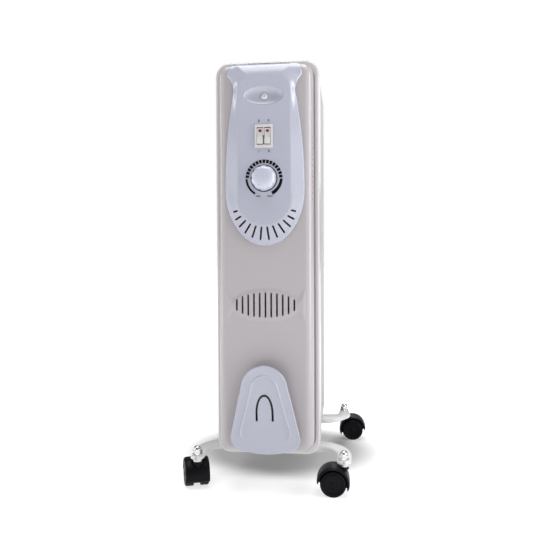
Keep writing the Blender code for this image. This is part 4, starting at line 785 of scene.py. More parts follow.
def make_markings():
    """Scale round the knob, a black ring under its rim that paints the shadow of the gap, and plain characters by
    the switches and the scale.
    """
    place = frontal(0, PANEL_FRONT, KNOB_Z)
    count, share, outer, low = 15, 0.76, 26.6 * MM, 0.02 * MM
    sectors = []
    for index in range(count):
        width = math.pi / count
        start = width * (index + (1 - share) / 2)
        sectors.append(ring_sector(21.7 * MM, outer, start, width * share, 4))
    sectors.append(ring_sector(23.6 * MM, outer, math.pi * 1.01, math.pi * 0.32, 24, 23.8 * MM))
    sectors.append(ring_sector(22.6 * MM, outer, -math.pi * 0.01, -math.pi * 0.335, 24, 21.6 * MM))
    marks = [deep_shape(sector, place, low, TOUCH) for sector in sectors]
    show("dial_scale", merged(*marks), "fascia_plastic", material=INK)
    # Flat black ring under the knob's rim: painted shadow of the gap between the knob and the panel.
    inside, outside = KNOB_RADIUS - 1.5 * MM, KNOB_RADIUS + 1.3 * MM
    collar = [(inside, low), (outside, low), (outside, TOUCH), (inside, TOUCH)]
    show("dial_painted_shadow_ring", turned_ring(collar, 64, place), "fascia_plastic", material=PAINTED_SHADE_BLACK)
    letters = []
    for left, right, size, aside, z in (("0", "0", 5.2 * MM, 7 * MM, SWITCH_Z + 21.6 * MM),
                                        ("I", "II", 5.2 * MM, 7 * MM, SWITCH_Z - 21.4 * MM),
                                        ("MIN", "MAX", 3.6 * MM, 8.5 * MM, KNOB_Z - 25.5 * MM)):
        letters += [lettering(left, size, -aside, z), lettering(right, size, aside, z)]
    show("panel_characters", merged(*letters), "fascia_plastic", material=INK)


# ---------------------------------------------------------------- switch and knob

LENS_SWELL = 1.12


def make_switch():
    """Bezel with a rounded rim round the two rocker openings."""
    low, high = SWITCH_LOW, SWITCH_HIGH
    bezel = block((low.x, low.y, low.z), (high.x, PANEL_FRONT - TOUCH, high.z), 0.7 * MM)
    body = show("switch_bezel", bezel, "switch_plastic", nodes=["switch_body"])
    margin = 2 * MM
    case = block((low.x + margin, low.y + MM, low.z + margin), (high.x - margin, high.y, high.z - margin))
    carve(body, case, 'UNION')
    gap, well_half = 0.35 * MM, 12.4 * MM
    for side in SIDES:
        rocker_low, rocker_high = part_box("rocker_" + side)
        carve(body, block((rocker_low.x - gap, low.y - MM, SWITCH_Z - well_half),
                          (rocker_high.x + gap, low.y + 16.5 * MM, SWITCH_Z + well_half)))
    slot_half = 0.55 * MM
    carve(body, block((-slot_half, low.y - MM, low.z + 4.5 * MM),
                      (slot_half, low.y + 13 * MM, SWITCH_Z + 1.5 * MM)))
    # Black sheet at the bottom of the rocker wells: painted shade, so the gaps round the rockers look dark.
    shade_sheet = block((low.x + 2.6 * MM, low.y + 13.5 * MM, SWITCH_Z - 12 * MM),
                  (high.x - 2.6 * MM, low.y + 16 * MM, SWITCH_Z + 12 * MM))
    show("switch_well_painted_shade", shade_sheet, "switch_plastic", material=PAINTED_SHADE_BLACK)


def make_rocker(side):
    """Rocker cap with a hollow face, round ends and a small red lens."""
    low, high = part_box("rocker_" + side)
    joint = next(j for j in frame["joints"] if j["name"] == f"rocker_{side}_tip")
    pivot = Vector(joint["pos_m"])
    radius, valley, corner, tilt = 12 * MM, 4.2 * MM, math.radians(30), math.radians(8)
    lower = math.radians(-20)
    right = arc((0, 0), (radius, radius), lower, corner - lower, 8)
    left = arc((0, 0), (radius, radius), math.pi - corner, corner - lower, 8)
    tip_x, tip_y = right[-1]
    face = []
    for i in range(1, 20):
        t = i / 10 - 1
        face.append((-t * tip_x, valley + (tip_y - valley) * abs(t) ** 1.25))
    points = []
    for along, out in right + face + left + [(0.0, -radius / 2)]:
        points.append((along * math.cos(tilt) + out * math.sin(tilt),
                       out * math.cos(tilt) - along * math.sin(tilt)))
    width = high.x - low.x
    place = Matrix.Translation(pivot) @ Matrix(((0, 0, 1, 0), (0, -1, 0, 0), (1, 0, 0, 0), (0, 0, 0, 1)))
    cap = prism(points, -width / 2, width / 2, place, 0.5 * MM)
    show("rocker_cap_" + side, cap, "switch_plastic", "rocker_switch_" + side, nodes=["rocker_" + side],
         angle=40)
    lens_low, lens_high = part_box("rocker_lens_" + side)
    centre = (lens_low + lens_high) / 2
    dome = bmesh.new()
    bmesh.ops.create_uvsphere(dome, u_segments=32, v_segments=16, radius=1.0)
    lens_radius = LENS_SWELL * (lens_high.x - lens_low.x) / 2
    squeeze = Matrix.Translation((centre.x, centre.y - 0.1 * MM, centre.z)) @ Matrix.Diagonal(
        (lens_radius, 0.9 * MM, lens_radius, 1.0))
    show("rocker_lens_dome_" + side, moved(dome, squeeze), "red_lens", "rocker_switch_" + side,
         nodes=["rocker_lens_" + side])


def make_knob():
    """Domed dial with a scalloped rim and a pointer groove."""
    depth = KNOB_HIGH.y - KNOB_LOW.y
    levels = [(0.0, 0.0, 0.0), (0.5, 0.0, 0.0), (0.955, 0.0, 0.0), (0.985, 0.015, 0.0), (1.0, 0.05, 0.4),
              (1.0, 0.20, 1.0), (0.995, 0.36, 1.0), (0.975, 0.50, 1.0), (0.94, 0.63, 0.95),
              (0.885, 0.745, 0.75), (0.81, 0.835, 0.45), (0.71, 0.905, 0.15), (0.58, 0.95, 0.0),
              (0.43, 0.98, 0.0), (0.25, 0.995, 0.0), (0.0, 1.0, 0.0)]
    steps, lobes = 120, 10
    rings = []
    for share, height, scallop in levels:
        ring = []
        for i in range(steps):
            angle = TAU * i / steps
            wave = 0.5 + 0.5 * math.cos(lobes * angle)
            radius = KNOB_RADIUS * share * (1 - 0.055 * scallop * wave ** 3)
            ring.append((radius * math.cos(angle), radius * math.sin(angle), depth * height))
        rings.append(ring)
    place = frontal(0, KNOB_HIGH.y, KNOB_Z)
    knob = show("dial_knob", moved(loft(rings), place), "knob_plastic", "thermostat_dial",
                nodes=["thermostat_knob"])
    carve(knob, prism(disc(3.2 * MM, 32), -MM, 8.5 * MM, place))
    start, reach = math.radians(240), 13.5 * MM
    groove = Matrix.Translation((reach * math.cos(start), reach * math.sin(start), depth * 0.97))
    groove = place @ groove @ Matrix.Rotation(start + math.pi / 2, 4, 'Z')
    carve(knob, prism(stadium(5 * MM, 1.3 * MM), -1.6 * MM, 3 * MM, groove))


# ---------------------------------------------------------------- cord storage cover

PLATE_THICK = 3.5 * MM
PLATE_STAND = 7 * MM
PLATE_BASE = COVER_LOW + 5 * MM
PLATE_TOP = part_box("cord_storage_cover")[1].z
PLATE_SLOPE = (26 * MM - PLATE_STAND) / (PLATE_TOP - PLATE_BASE)
CONTOUR_INSET = 14.5 * MM
PEDESTAL_INSET = 13 * MM
PLATE_CROWN = 33 * MM
PLATE_HALF = 50.5 * MM
CLIP_BASE = COVER_LOW + 51 * MM


def bell(inset, steps=14, rows=16):
    """(x, z) points of the right half of the bell outline, from the lowest to the highest."""
    top_r = PLATE_CROWN - inset
    corner_r = 20 * MM - inset / 2
    top_z = PLATE_TOP - PLATE_CROWN
    low_z = PLATE_BASE + inset
    wide_x = PLATE_HALF - inset - corner_r
    wide_z = COVER_LOW + 34 * MM
    flank = math.atan2(wide_x + corner_r - top_r, top_z - wide_z)
    bow = 4 * MM
    half = []
    for i in range(8):
        t = i / 8
        half.append((wide_x * t, low_z - bow * (1 - t * t)))
    half += arc((wide_x, low_z + corner_r), (corner_r, corner_r), -math.pi / 2, math.pi / 2 + flank, steps)
    crown = arc((0, top_z), (top_r, top_r), flank, math.pi / 2 - flank, steps)
    start, end = half[-1], crown[0]
    half += [(mix(start[0], end[0], i / rows), mix(start[1], end[1], i / rows)) for i in range(1, rows)]
    return half + crown


def plate_point(x, z, out):
    """A point at a height over the plate's back; the whole plate leans out towards its top."""
    return (x, COVER_FRONT - PLATE_STAND - out - PLATE_SLOPE * (z - PLATE_BASE), z)


def plate_rise(x, z, inset):
    """Height of the plate's face: rounded rim, raised contour line, lower field and a finger hollow."""
    rise = PLATE_THICK
    rim = 1.4 * MM
    if inset < rim:
        rise -= rim - math.sqrt(rim ** 2 - (rim - inset) ** 2)
    rise -= 0.35 * MM * smooth((inset - 2.2 * MM) / (1.6 * MM))
    fade = smooth((z - COVER_LOW - 14 * MM) / (22 * MM))
    rise += 1.0 * MM * fade * math.exp(-((inset - CONTOUR_INSET) / (0.7 * MM)) ** 2)
    rise -= 0.5 * MM * fade * smooth((inset - CONTOUR_INSET) / (2.5 * MM))
    hollow = math.hypot(x / (17 * MM), (z - CLIP_BASE - 30 * MM) / (20 * MM))
    rise -= 1.5 * MM * (1 - smooth(hollow)) * smooth((inset - CONTOUR_INSET) / (5 * MM))
    return rise


def make_cord_cover():
    rows = []
    insets = [0.0, 0.15, 0.45, 0.9, 1.4, 2.2, 3.0, 3.8, 6.0, 8.5, 10.5, 12.0, 13.0, 13.6, 14.0, 14.3, 14.5,
              14.7, 15.0, 15.4, 16.0, 17.0, 18.2, 19.6, 21.0]
    for inset in insets:
        inset *= MM
        rows.append([(x, z, plate_rise(x, z, inset)) for x, z in bell(inset)])
    last = bell(21 * MM)
    spine = (PLATE_BASE + 40 * MM, PLATE_TOP - PLATE_CROWN)
    for step in range(1, 13):
        t = step / 12
        half = []
        for x, z in last:
            goal = min(max(z, spine[0]), spine[1])
            spot = (x * (1 - t), mix(z, goal, t))
            half.append((*spot, plate_rise(*spot, (21 + 27 * t) * MM)))
        rows.append(half)
    front = [[plate_point(x, z, out) for x, z, out in both_sides(row)] for row in rows]
    back = [[plate_point(x, z, 0.0) for x, z, out in both_sides(row)] for row in rows]
    plate = show("cord_storage_plate", loft(list(reversed(back)) + front), "fascia_plastic",
                 nodes=["cord_storage_cover"])
    clip, leg, rise, slit = 11.5 * MM, 12 * MM, 26 * MM, 3.1 * MM
    outer = [(clip + slit / 2, 0.0)] + arc((0, leg), (clip + slit / 2, rise + slit * 0.6), 0, math.pi, 32)
    inner = [(-clip - slit / 2, 0.0), (-clip + slit / 2, 0.0)]
    inner += arc((0, leg), (clip - slit / 2, rise - slit * 0.6), math.pi, -math.pi, 32)
    inner += [(clip - slit / 2, 0.0)]
    carve(plate, deep_shape(outer + inner, frontal(0, 0, CLIP_BASE), -COVER_FRONT + MM, 0.25))
    inset = PEDESTAL_INSET
    walls = []
    for stand in (0.0, 1.0):
        ring = []
        for x, z in both_flat(bell(inset)):
            at_plate = plate_point(x, z, 0.3 * MM)
            ring.append((x, mix(at_plate[1], COVER_FRONT - TOUCH - 1.0 * MM, stand), z))
        walls.append(ring)
    pedestal = show("cord_pedestal", loft(walls, start_cap=True, end_cap=True), "fascia_plastic",
                    nodes=["cord_storage_cover"])
    carve(pedestal, deep_shape(both_flat(bell(inset + 3 * MM)), frontal(0, 0, 0), 0.1, 0.3))


# ---------------------------------------------------------------- feet and their fixings

CASTERS = ("front_left", "front_right", "rear_left", "rear_right")
FOOT_LOW, FOOT_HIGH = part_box("foot_rear")
FOOT_TOP = FOOT_HIGH.z
FOOT_SKIRT = FOOT_HIGH.z - FOOT_LOW.z
FOOT_HALF = 16 * MM
FOOT_END_HALF = 10.5 * MM
FOOT_END_TOP = FOOT_TOP - 4 * MM
FOOT_END_SKIRT = 5.4 * MM
FOOT_BAR_Y = FOOT_LOW.y + FOOT_HALF


def foot_stations():
    """(x, y, heading, share of the way from the bar to the narrow end) along one half."""
    stem = middle_of("caster_stem_rear_right")
    bend = 40 * MM
    bend_x = stem.x - bend
    centre_y = FOOT_BAR_Y + bend
    stations = [(bend_x * i / 6, FOOT_BAR_Y, 0.0, 0.0) for i in range(7)]
    for i in range(1, 19):
        turn = math.pi / 2 * i / 18
        stations.append((bend_x + bend * math.sin(turn), centre_y - bend * math.cos(turn), turn,
                         0.75 * i / 18))
    for i in range(1, 9):
        t = i / 9
        stations.append((stem.x, mix(centre_y, stem.y, t), math.pi / 2, mix(0.75, 1.0, smooth(t))))
    for angle in (0, 12, 24, 36, 47, 57, 66, 74, 81, 86):
        run = FOOT_END_HALF * math.sin(math.radians(angle))
        stations.append((stem.x, stem.y + run, math.pi / 2, 1.0 + angle))
    return stations


def foot_ring(x, y, turn, share):
    """Section of the pressed channel: crowned top, rounded shoulders and two thin skirts."""
    blend = min(share, 1.0)
    soft = smooth(blend)
    half = mix(FOOT_HALF, FOOT_END_HALF, soft)
    if share > 1.0:
        half *= math.cos(math.radians(share - 1.0))
    top = mix(FOOT_TOP, FOOT_END_TOP, soft)
    skirt = mix(FOOT_SKIRT, FOOT_END_SKIRT, min(1.0, max(0.0, (blend - 0.10) / 0.35)))
    low = top - skirt
    sheet = min(1.5 * MM, half * 0.45)
    crown = min(4.2 * MM, half * 0.8, skirt * 0.75)
    inner_crown = max(crown - sheet, half * 0.05)
    right = arc((half - crown, top - crown), (crown, crown), math.pi / 2, -math.pi / 2, 6)
    right += [(half, mix(top - crown, low, 0.5)), (half, low + 0.3 * MM), (half - 0.3 * MM, low),
              (half - sheet + 0.3 * MM, low), (half - sheet, low + 0.3 * MM)]
    right += arc((half - sheet - inner_crown, top - sheet - inner_crown), (inner_crown, inner_crown),
                 0, math.pi / 2, 5)
    shape = right + [(-u, z) for u, z in reversed(right)]
    side = Vector((-math.sin(turn), math.cos(turn)))
    return [(x + side.x * u, y + side.y * u, z) for u, z in shape]


def make_feet():
    half = foot_stations()
    left = [(-x, y, -turn, share) for x, y, turn, share in reversed(half[1:])]
    for end in ("rear", "front"):
        node = "foot_" + end
        bm = loft([foot_ring(*station) for station in left + half], start_cap=True, end_cap=True)
        if end == "front":
            moved(bm, Matrix.Rotation(math.pi, 4, 'Z'))
        foot = show(node + "_channel", bm, "foot_paint", nodes=[node], angle=50)
        holes = []
        for side in SIDES:
            for name, radius, top in (("caster_stem", 4.2 * MM, FOOT_END_TOP),
                                      ("wing_nut", 3 * MM, FOOT_TOP)):
                outline = disc(radius, 24, middle_of(f"{name}_{end}_{side}"))
                holes.append(prism(outline, top - 10 * MM, top + 10 * MM))
        carve(foot, merged(*holes), angle=50)


def tube(points, radius, steps=16):
    """Round bar along points that lie in one plane of constant Y."""
    rings = []
    for i, point in enumerate(points):
        before = Vector(points[max(i - 1, 0)])
        after = Vector(points[min(i + 1, len(points) - 1)])
        ahead = (after - before).normalized()
        side = Vector((0, 1, 0))
        out = ahead.cross(side).normalized()
        turns = [TAU * k / steps for k in range(steps)]
        rings.append([Vector(point) + radius * (math.cos(a) * side + math.sin(a) * out) for a in turns])
    return loft(rings, start_cap=True, end_cap=True)


def make_fixings():
    """U-bolt over the lower header at each end, with a wing nut under each leg."""
    for end in ("front", "rear"):
        node = "foot_u_bolt_" + end
        low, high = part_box(node)
        radius = (high.y - low.y) / 2
        bend = high.x - radius
        y = (low.y + high.y) / 2
        centre_z = high.z - radius - bend
        bridge = [(x, y, z) for x, z in arc((0, centre_z), (bend, bend), 0, math.pi, 32)]
        legs = [[(x, y, mix(low.z, centre_z, i / 40)) for i in range(40)] for x in (bend, -bend)]
        bolt = tube(legs[0] + bridge + list(reversed(legs[1])), radius)
        for vertex in bolt.verts:
            if vertex.co.z < low.z + 26 * MM:
                centre_x = math.copysign(bend, vertex.co.x)
                wave = 0.5 + 0.5 * math.sin(vertex.co.z * TAU / (1.6 * MM))
                vertex.co.x = mix(vertex.co.x, centre_x, 0.06 * wave)
        show(node + "_bar", bolt, "zinc_steel", nodes=[node])
        for side in SIDES:
            make_wing_nut(f"wing_nut_{end}_{side}")


def make_wing_nut(node):
    """Tapered hub with two rounded wings."""
    low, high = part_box(node)
    centre = (low + high) / 2
    hub, round_end = 5 * MM, 2.2 * MM
    place = over(centre)
    profile = [(0.0, high.z), (hub * 0.78, high.z), (hub * 0.86, high.z - 0.3 * MM), (hub, low.z + 1.6 * MM),
               (hub, low.z + 0.6 * MM), (hub * 0.94, low.z + 0.3 * MM), (0.0, low.z + 0.3 * MM)]
    nut = show(node + "_body", turned(profile, 32, place), "zinc_steel", nodes=[node], angle=40)
    reach = high.x - centre.x
    for sign in (-1, 1):
        wing = [(sign * 2.5 * MM, high.z - 0.8 * MM), (sign * reach * 0.62, high.z - 2.6 * MM),
                (sign * reach * 0.90, low.z + 3.4 * MM)]
        wing += [(sign * (reach - round_end + round_end * math.cos(a)),
                  low.z + round_end + round_end * math.sin(a)) for a in (0.6, 0.0, -0.6, -1.2, -1.6)]
        wing += [(sign * 2.5 * MM, low.z + 0.8 * MM)]
        carve(nut, deep_shape(wing, place @ FRONTAL, -1.2 * MM, 1.2 * MM), 'UNION', 40)
    carve(nut, prism(disc(2.8 * MM, 24, centre), low.z - 5 * MM, high.z + 5 * MM), angle=40)


# ---------------------------------------------------------------- casters

HOOD_SWEEP = math.radians(202)


def caster_place(tag):
    """Caster frame: Z up through the stem, X along the trail towards the axle."""
    joints = {j["name"]: j for j in frame["joints"]}
    stem = Vector(joints["swivel_" + tag]["pos_m"])
    axle = Vector(joints[f"roll_{tag}_a"]["pos_m"])
    heading = math.atan2(axle.y - stem.y, axle.x - stem.x)
    trail = math.hypot(axle.y - stem.y, axle.x - stem.x)
    return Matrix.Translation((stem.x, stem.y, 0)) @ Matrix.Rotation(heading, 4, 'Z'), trail, axle.z


def hood_shell(trail, axle_z):
    """Fender over both wheels: an arched band with rounded rims, closed by blunt round tips."""
    outer, inner, half = 25 * MM, 21.3 * MM, 18.6 * MM
    steps = 56
    rings = []
    for i in range(steps + 1):
        angle = HOOD_SWEEP * i / steps
        run = min(i, steps - i) / 3
        close = math.sqrt(max(0.0, 1 - (1 - min(run, 1.0)) ** 2)) if run < 1 else 1.0
        thin = mix(0.25, 1.0, close)
        out = mix((outer + inner) / 2, outer, thin)
        low = mix((outer + inner) / 2, inner, thin)
        section = [(out, 0.0), (out - 0.15 * MM, half * 0.6), (out - 0.5 * MM, half * 0.86),
                   (out - 1.1 * MM, half * 0.955), (mix(low, out, 0.45), half),
                   (low + 0.4 * MM, half * 0.985), (low, half * 0.95), (low, half * 0.4)]
        section = section + [(low, -half * 0.4)] + [(r, -y) for r, y in reversed(section[1:-1])]
        rings.append([(trail + r * math.cos(angle), y, axle_z + r * math.sin(angle)) for r, y in section])
    return loft(rings, start_cap=True, end_cap=True)


def web_shell(trail, axle_z):
    """Middle plate between the wheels, with the axle in it."""
    radius, half = 22.5 * MM, 4.9 * MM
    outline = arc((trail, axle_z), (radius, radius), 0, HOOD_SWEEP, 40)
    outline += [(trail - 6.5 * MM, 10 * MM), (trail + 6.5 * MM, 10 * MM)]
    return deep_shape(outline, SIDEWAYS, -half, half)


def make_hood(tag):
    place, trail, axle_z = caster_place(tag)
    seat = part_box("caster_stem_" + tag)[0].z + 16 * MM
    hood = show("caster_fender_" + tag, hood_shell(trail, axle_z), "caster_plastic", "caster_" + tag,
                nodes=["caster_hood_" + tag], angle=40)
    carve(hood, web_shell(trail, axle_z), 'UNION', 40)
    boss = turned([(0.0, seat), (6.8 * MM, seat), (7.3 * MM, seat - 0.3 * MM), (7.5 * MM, seat - 1.2 * MM),
                   (7.5 * MM, seat - 3.4 * MM), (4.9 * MM, seat - 3.6 * MM), (4.9 * MM, seat - 18 * MM),
                   (0.0, seat - 18 * MM)], 32)
    carve(hood, boss, 'UNION', 40)
    for hole in (prism(disc(9 * MM, 32), seat, seat + 10 * MM),
                 prism(disc(3 * MM, 24), seat - 16.3 * MM, seat + 5 * MM),
                 prism(disc(2.7 * MM, 24, (trail, axle_z)), -9 * MM, 9 * MM, SIDEWAYS)):
        carve(hood, hole, angle=40)
    hood.data.transform(place)


def make_wheel(tag, side):
    """Wheel half with a rounded tread, a dished face, a step round the hub and a small cap."""
    place, trail, axle_z = caster_place(tag)
    outer, inner, radius = 18.6 * MM, 5.4 * MM, axle_z
    bore, bore_end = 2.7 * MM, 16 * MM
    profile = [(0.0, outer - 0.5 * MM), (3.2 * MM, outer - 0.5 * MM), (3.8 * MM, outer - 0.9 * MM),
               (4.2 * MM, outer - 1.4 * MM), (12.0 * MM, outer - 0.7 * MM), (13.6 * MM, outer - 0.35 * MM),
               (14.0 * MM, outer - 0.55 * MM), (14.4 * MM, outer - 0.9 * MM), (14.8 * MM, outer - 0.5 * MM),
               (15.4 * MM, outer - 0.05 * MM)]
    profile += [(radius - 3 * MM + 3 * MM * math.sin(a), outer - 3 * MM + 3 * MM * math.cos(a))
                for a in (math.radians(10 + 16 * i) for i in range(6))]
    seam = mix(outer, inner, 0.5)
    profile += [(radius, outer - 3.4 * MM), (radius, seam + 0.7 * MM), (radius - 0.35 * MM, seam),
                (radius, seam - 0.7 * MM), (radius, inner + 1 * MM),
                (radius - 0.3 * MM, inner + 0.3 * MM), (radius - 1 * MM, inner),
                (bore, inner), (bore, bore_end), (0.0, bore_end)]
    turn = math.pi / 2 if side == "a" else -math.pi / 2
    spin = Matrix.Translation((trail, 0, axle_z)) @ Matrix.Rotation(-turn, 4, 'X')
    wheel = turned(profile, 64, place @ spin)
    show(f"wheel_disc_{tag}_{side}", wheel, "caster_plastic", f"wheel_{tag}_{side}",
         nodes=[f"caster_wheel_{tag}_{side}"])


def make_stem(tag):
    low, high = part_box("caster_stem_" + tag)
    seat = low.z + 16.3 * MM
    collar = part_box("acorn_nut_" + tag)[0].z - 2.1 * MM
    profile = [(0.0, high.z), (2.6 * MM, high.z), (3.5 * MM, high.z - 0.9 * MM)]
    level = high.z - MM
    while level - 0.5 * MM > collar:
        profile.append((3.75 * MM, level))
        profile.append((3.35 * MM, level - 0.5 * MM))
        level -= MM
    profile += [(3.7 * MM, collar), (6.7 * MM, collar), (7.0 * MM, collar - 0.3 * MM),
                (7.0 * MM, seat + 0.3 * MM), (6.7 * MM, seat), (2.65 * MM, seat),
                (2.65 * MM, low.z + 0.6 * MM), (2.1 * MM, low.z), (0.0, low.z)]
    show("caster_threaded_stem_" + tag, turned(profile, 32, over((low + high) / 2)), "zinc_steel",
         nodes=["caster_stem_" + tag])


def make_acorn_nut(tag):
    """Domed nut: washer face, chamfered hexagon and polished dome."""
    low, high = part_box("acorn_nut_" + tag)
    centre = (low + high) / 2
    base = low.z
    dome_r = 6.0 * MM
    hex_top = base + 7.3 * MM
    profile = [(0.0, high.z)]
    profile += [(dome_r * math.sin(a), mix(hex_top, high.z, math.cos(a)))
                for a in (math.radians(12 * i) for i in range(1, 8))]
    profile += [(dome_r, hex_top - 0.4 * MM), (dome_r, base + 1.9 * MM), (7.2 * MM, base + 1.7 * MM),
                (7.8 * MM, base + 1.1 * MM), (7.8 * MM, base + 0.3 * MM), (7.5 * MM, base), (0.0, base)]
    place = over(centre)
    nut = show("domed_nut_" + tag, turned(profile, 64, place), "nut_chrome", nodes=["acorn_nut_" + tag],
               angle=30)
    hexagon = arc((0, 0), (7.3 * MM, 7.3 * MM), math.radians(15), TAU, 6)[:-1]
    body = prism(hexagon, base + 1.2 * MM, hex_top, place)
    limit = turned([(0.0, hex_top + 0.1 * MM), (6.1 * MM, hex_top), (7.6 * MM, hex_top - 1.0 * MM),
                    (7.6 * MM, base + 1.0 * MM), (0.0, base + 1.0 * MM)], 64, place)
    tool = bpy.data.objects.new("hex_body", mesh_of("hex_body", body))
    SCENE.collection.objects.link(tool)
    carve(tool, limit, 'INTERSECT')
    shape = bmesh.new()
    shape.from_mesh(tool.data)
    bpy.data.objects.remove(tool, do_unlink=True)
    carve(nut, shape, 'UNION', 30)
    thread_top = base + (high.z - low.z) * 0.58
    carve(nut, prism(disc(4.0 * MM, 24, centre), base - 2 * MM, thread_top), angle=30)


def make_casters():
    for tag in CASTERS:
        make_hood(tag)
        for side in ("a", "b"):
            make_wheel(tag, side)
        make_stem(tag)
        make_acorn_nut(tag)


# ---------------------------------------------------------------- small fittings

def make_grommet():
    low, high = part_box("cord_grommet")
    centre = (low + high) / 2
    wall_low, wall_high = HOUSING_LOW.z - 0.3 * MM, HOUSING_LOW.z + SHEET + 0.3 * MM
    outer = high.x - centre.x
    profile = [(3.8 * MM, low.z + 0.8 * MM), (4.6 * MM, low.z + 0.1 * MM), (5.4 * MM, low.z),
               (outer * 0.85, low.z + 0.3 * MM), (outer, low.z + 1.4 * MM), (outer * 0.98, wall_low),
               (5.9 * MM, wall_low), (5.9 * MM, wall_high), (outer * 0.98, wall_high),
               (outer * 0.9, high.z - 0.7 * MM), (outer * 0.7, high.z), (4.4 * MM, high.z - 0.2 * MM),
               (3.8 * MM, high.z - MM)]
    ring = turned_ring(profile, 48, over(centre))
    show("cord_inlet_grommet", ring, "grommet_rubber", nodes=["cord_grommet"])


def make_filler_plug():
    """Hexagon plug with a chamfered, dished head on a round flange."""
    low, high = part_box("oil_filler_plug")
    seat = high.y - 5 * MM
    place = Matrix.Translation((0, 0, (low.z + high.z) / 2)) @ Matrix.Rotation(-math.pi / 2, 4, 'X')
    head = prism(disc(10 * MM, 6), seat, high.y, place)
    plug = show("filler_plug_head", head, "zinc_steel", nodes=["oil_filler_plug"])
    limit = turned([(0.0, high.y + 0.1 * MM), (8.4 * MM, high.y), (10.2 * MM, high.y - 1.1 * MM),
                    (10.2 * MM, seat - MM), (0.0, seat - MM)], 64, place)
    carve(plug, limit, 'INTERSECT')
    dish = turned([(0.0, high.y + MM), (5.5 * MM, high.y + MM), (5.0 * MM, high.y - 0.8 * MM),
                   (0.0, high.y - 0.8 * MM)], 48, place)
    carve(plug, dish)
    flange = turned([(0.0, seat), (11.3 * MM, seat), (11.5 * MM, seat - 0.2 * MM),
                     (11.5 * MM, seat - 0.7 * MM), (0.0, seat - 0.7 * MM)], 48, place)
    carve(plug, flange, 'UNION')


def dress_inner_nodes():
    """The pieces inside the box and the axles keep their CAD shapes and get their finishes."""
    slots = {part["node"]: part["material_slot"] for part in frame["record"]["subparts"]}
    for name in ("heating_element", "thermal_cutout", "terminal_block", "tip_over_switch", "thermostat_body",
                 "thermostat_bracket", "thermostat_shaft", *("caster_axle_" + tag for tag in CASTERS)):
        node = frame["nodes"][name]
        node.data.materials.clear()
        node.data.materials.append(LOOKS[slots[name]])


# ---------------------------------------------------------------- studio

def make_stage():
    """Pale floor with painted light: it glows more with the distance from an ellipse under the fins, so that it
    fades into the white behind, and the unglowing ellipse is a painted shadow under the heater.
    """
    floor_mesh = bmesh.new()
    bmesh.ops.create_grid(floor_mesh, x_segments=1, y_segments=1, size=FLOOR_SIZE)
    floor = bpy.data.objects.new("studio_floor", mesh_of("studio_floor", floor_mesh))
    SCENE.collection.objects.link(floor)
    floor.location.z = -FLOOR_DROP
    pale = finish("floor_with_painted_shadow", (0.50, 0.50, 0.50), 0.75, grain=60, bump=0.0, tint=0.005, shine=0.1)
    nodes, links = pale.node_tree.nodes, pale.node_tree.links
    place = nodes.new("ShaderNodeTexCoord")
    flatten = nodes.new("ShaderNodeMapping")
    flatten.inputs["Location"].default_value = (0.0, PAINTED_SHADOW_MIDDLE_Y, 0.0)
    flatten.inputs["Scale"].default_value = PAINTED_SHADOW_SQUEEZE
    reach = nodes.new("ShaderNodeVectorMath")
    reach.operation = 'LENGTH'
    links.new(place.outputs["Object"], flatten.inputs["Vector"])
    links.new(flatten.outputs["Vector"], reach.inputs[0])
    both = nodes.new("ShaderNodeMath")
    # The near glow rises just outside the painted shadow under the fins; the far glow whitens the floor further
    # out.
    for index, (blend, start, end, strength) in enumerate((('SMOOTHSTEP', 0.75, 1.30, GLOW_ROUND_PAINTED_SHADOW),
                                                           ('LINEAR', 1.2, 7.0, FAR_PAINTED_FLOOR_GLOW))):
        glow = nodes.new("ShaderNodeMapRange")
        glow.interpolation_type = blend
        glow.inputs["From Min"].default_value = start
        glow.inputs["From Max"].default_value = end
        glow.inputs["To Max"].default_value = strength
        links.new(reach.outputs["Value"], glow.inputs["Value"])
        links.new(glow.outputs["Result"], both.inputs[index])
    shader = nodes["Principled BSDF"]
    shader.inputs["Emission Color"].default_value = (1, 1, 1, 1)
    links.new(both.outputs["Value"], shader.inputs["Emission Strength"])
    floor.data.materials.append(pale)


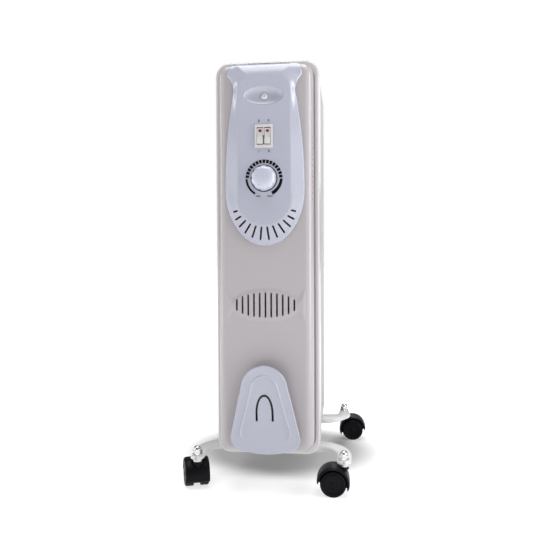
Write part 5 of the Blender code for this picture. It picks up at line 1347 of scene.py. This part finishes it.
LIGHT_TARGET = (0, -0.05, 0.35)
LIGHTS = {
    "right_softbox": ((1.5, -0.55, 0.60), (0.55, 1.6), 19),
    "left_softbox": ((-1.5, -0.35, 0.60), (0.40, 1.6), 9),
    "right_front_strip": ((1.0, -1.75, 0.55), (0.35, 1.5), 3.4),
    "left_front_strip": ((-1.35, -1.65, 0.55), (0.35, 1.5), 3.4),
    "top_softbox": ((0.05, -0.25, 2.2), (1.6, 1.8), 40),
    "back_softbox": ((0.3, 1.8, 1.2), (1.6, 1.2), 8),
}


def area_light(name, place, size, power):
    data = bpy.data.lights.new(name, 'AREA')
    data.shape = 'RECTANGLE'
    data.size, data.size_y = size
    data.energy = power
    light = bpy.data.objects.new(name, data)
    light.location = place
    aim = Vector(LIGHT_TARGET) - Vector(place)
    light.rotation_euler = aim.to_track_quat('-Z', 'Y').to_euler()
    SCENE.collection.objects.link(light)


def make_lights():
    world = bpy.data.worlds.new("studio")
    SCENE.world = world
    world.use_nodes = True
    nodes, links = world.node_tree.nodes, world.node_tree.links
    lit = nodes["Background"]
    lit.inputs["Color"].default_value = (1, 1, 1, 1)
    lit.inputs["Strength"].default_value = WORLD_LIGHT
    seen = nodes.new("ShaderNodeBackground")
    seen.inputs["Color"].default_value = (1, 1, 1, 1)
    seen.inputs["Strength"].default_value = 1.0
    path = nodes.new("ShaderNodeLightPath")
    choose = nodes.new("ShaderNodeMixShader")
    links.new(path.outputs["Is Camera Ray"], choose.inputs["Fac"])
    links.new(lit.outputs["Background"], choose.inputs[1])
    links.new(seen.outputs["Background"], choose.inputs[2])
    links.new(choose.outputs["Shader"], nodes["World Output"].inputs["Surface"])
    for name, (place, size, power) in LIGHTS.items():
        area_light(name, place, size, power)


def make_camera():
    data = bpy.data.cameras.new("camera")
    data.lens = CAMERA_LENS
    data.sensor_width = 36.0
    data.clip_start = 0.05
    camera = bpy.data.objects.new("camera", data)
    camera.location = CAMERA_PLACE
    camera.rotation_euler = [math.radians(angle) for angle in CAMERA_TURN]
    SCENE.collection.objects.link(camera)
    SCENE.camera = camera


SCENE.view_settings.view_transform = 'Standard'
make_camera()
make_stage()
make_lights()
make_fins()
make_housing()
make_cover()
make_fascia()
make_fascia_screw()
make_markings()
make_switch()
for switch_side in SIDES:
    make_rocker(switch_side)
make_knob()
make_cord_cover()
make_feet()
make_fixings()
make_casters()
make_grommet()
make_filler_plug()
dress_inner_nodes()
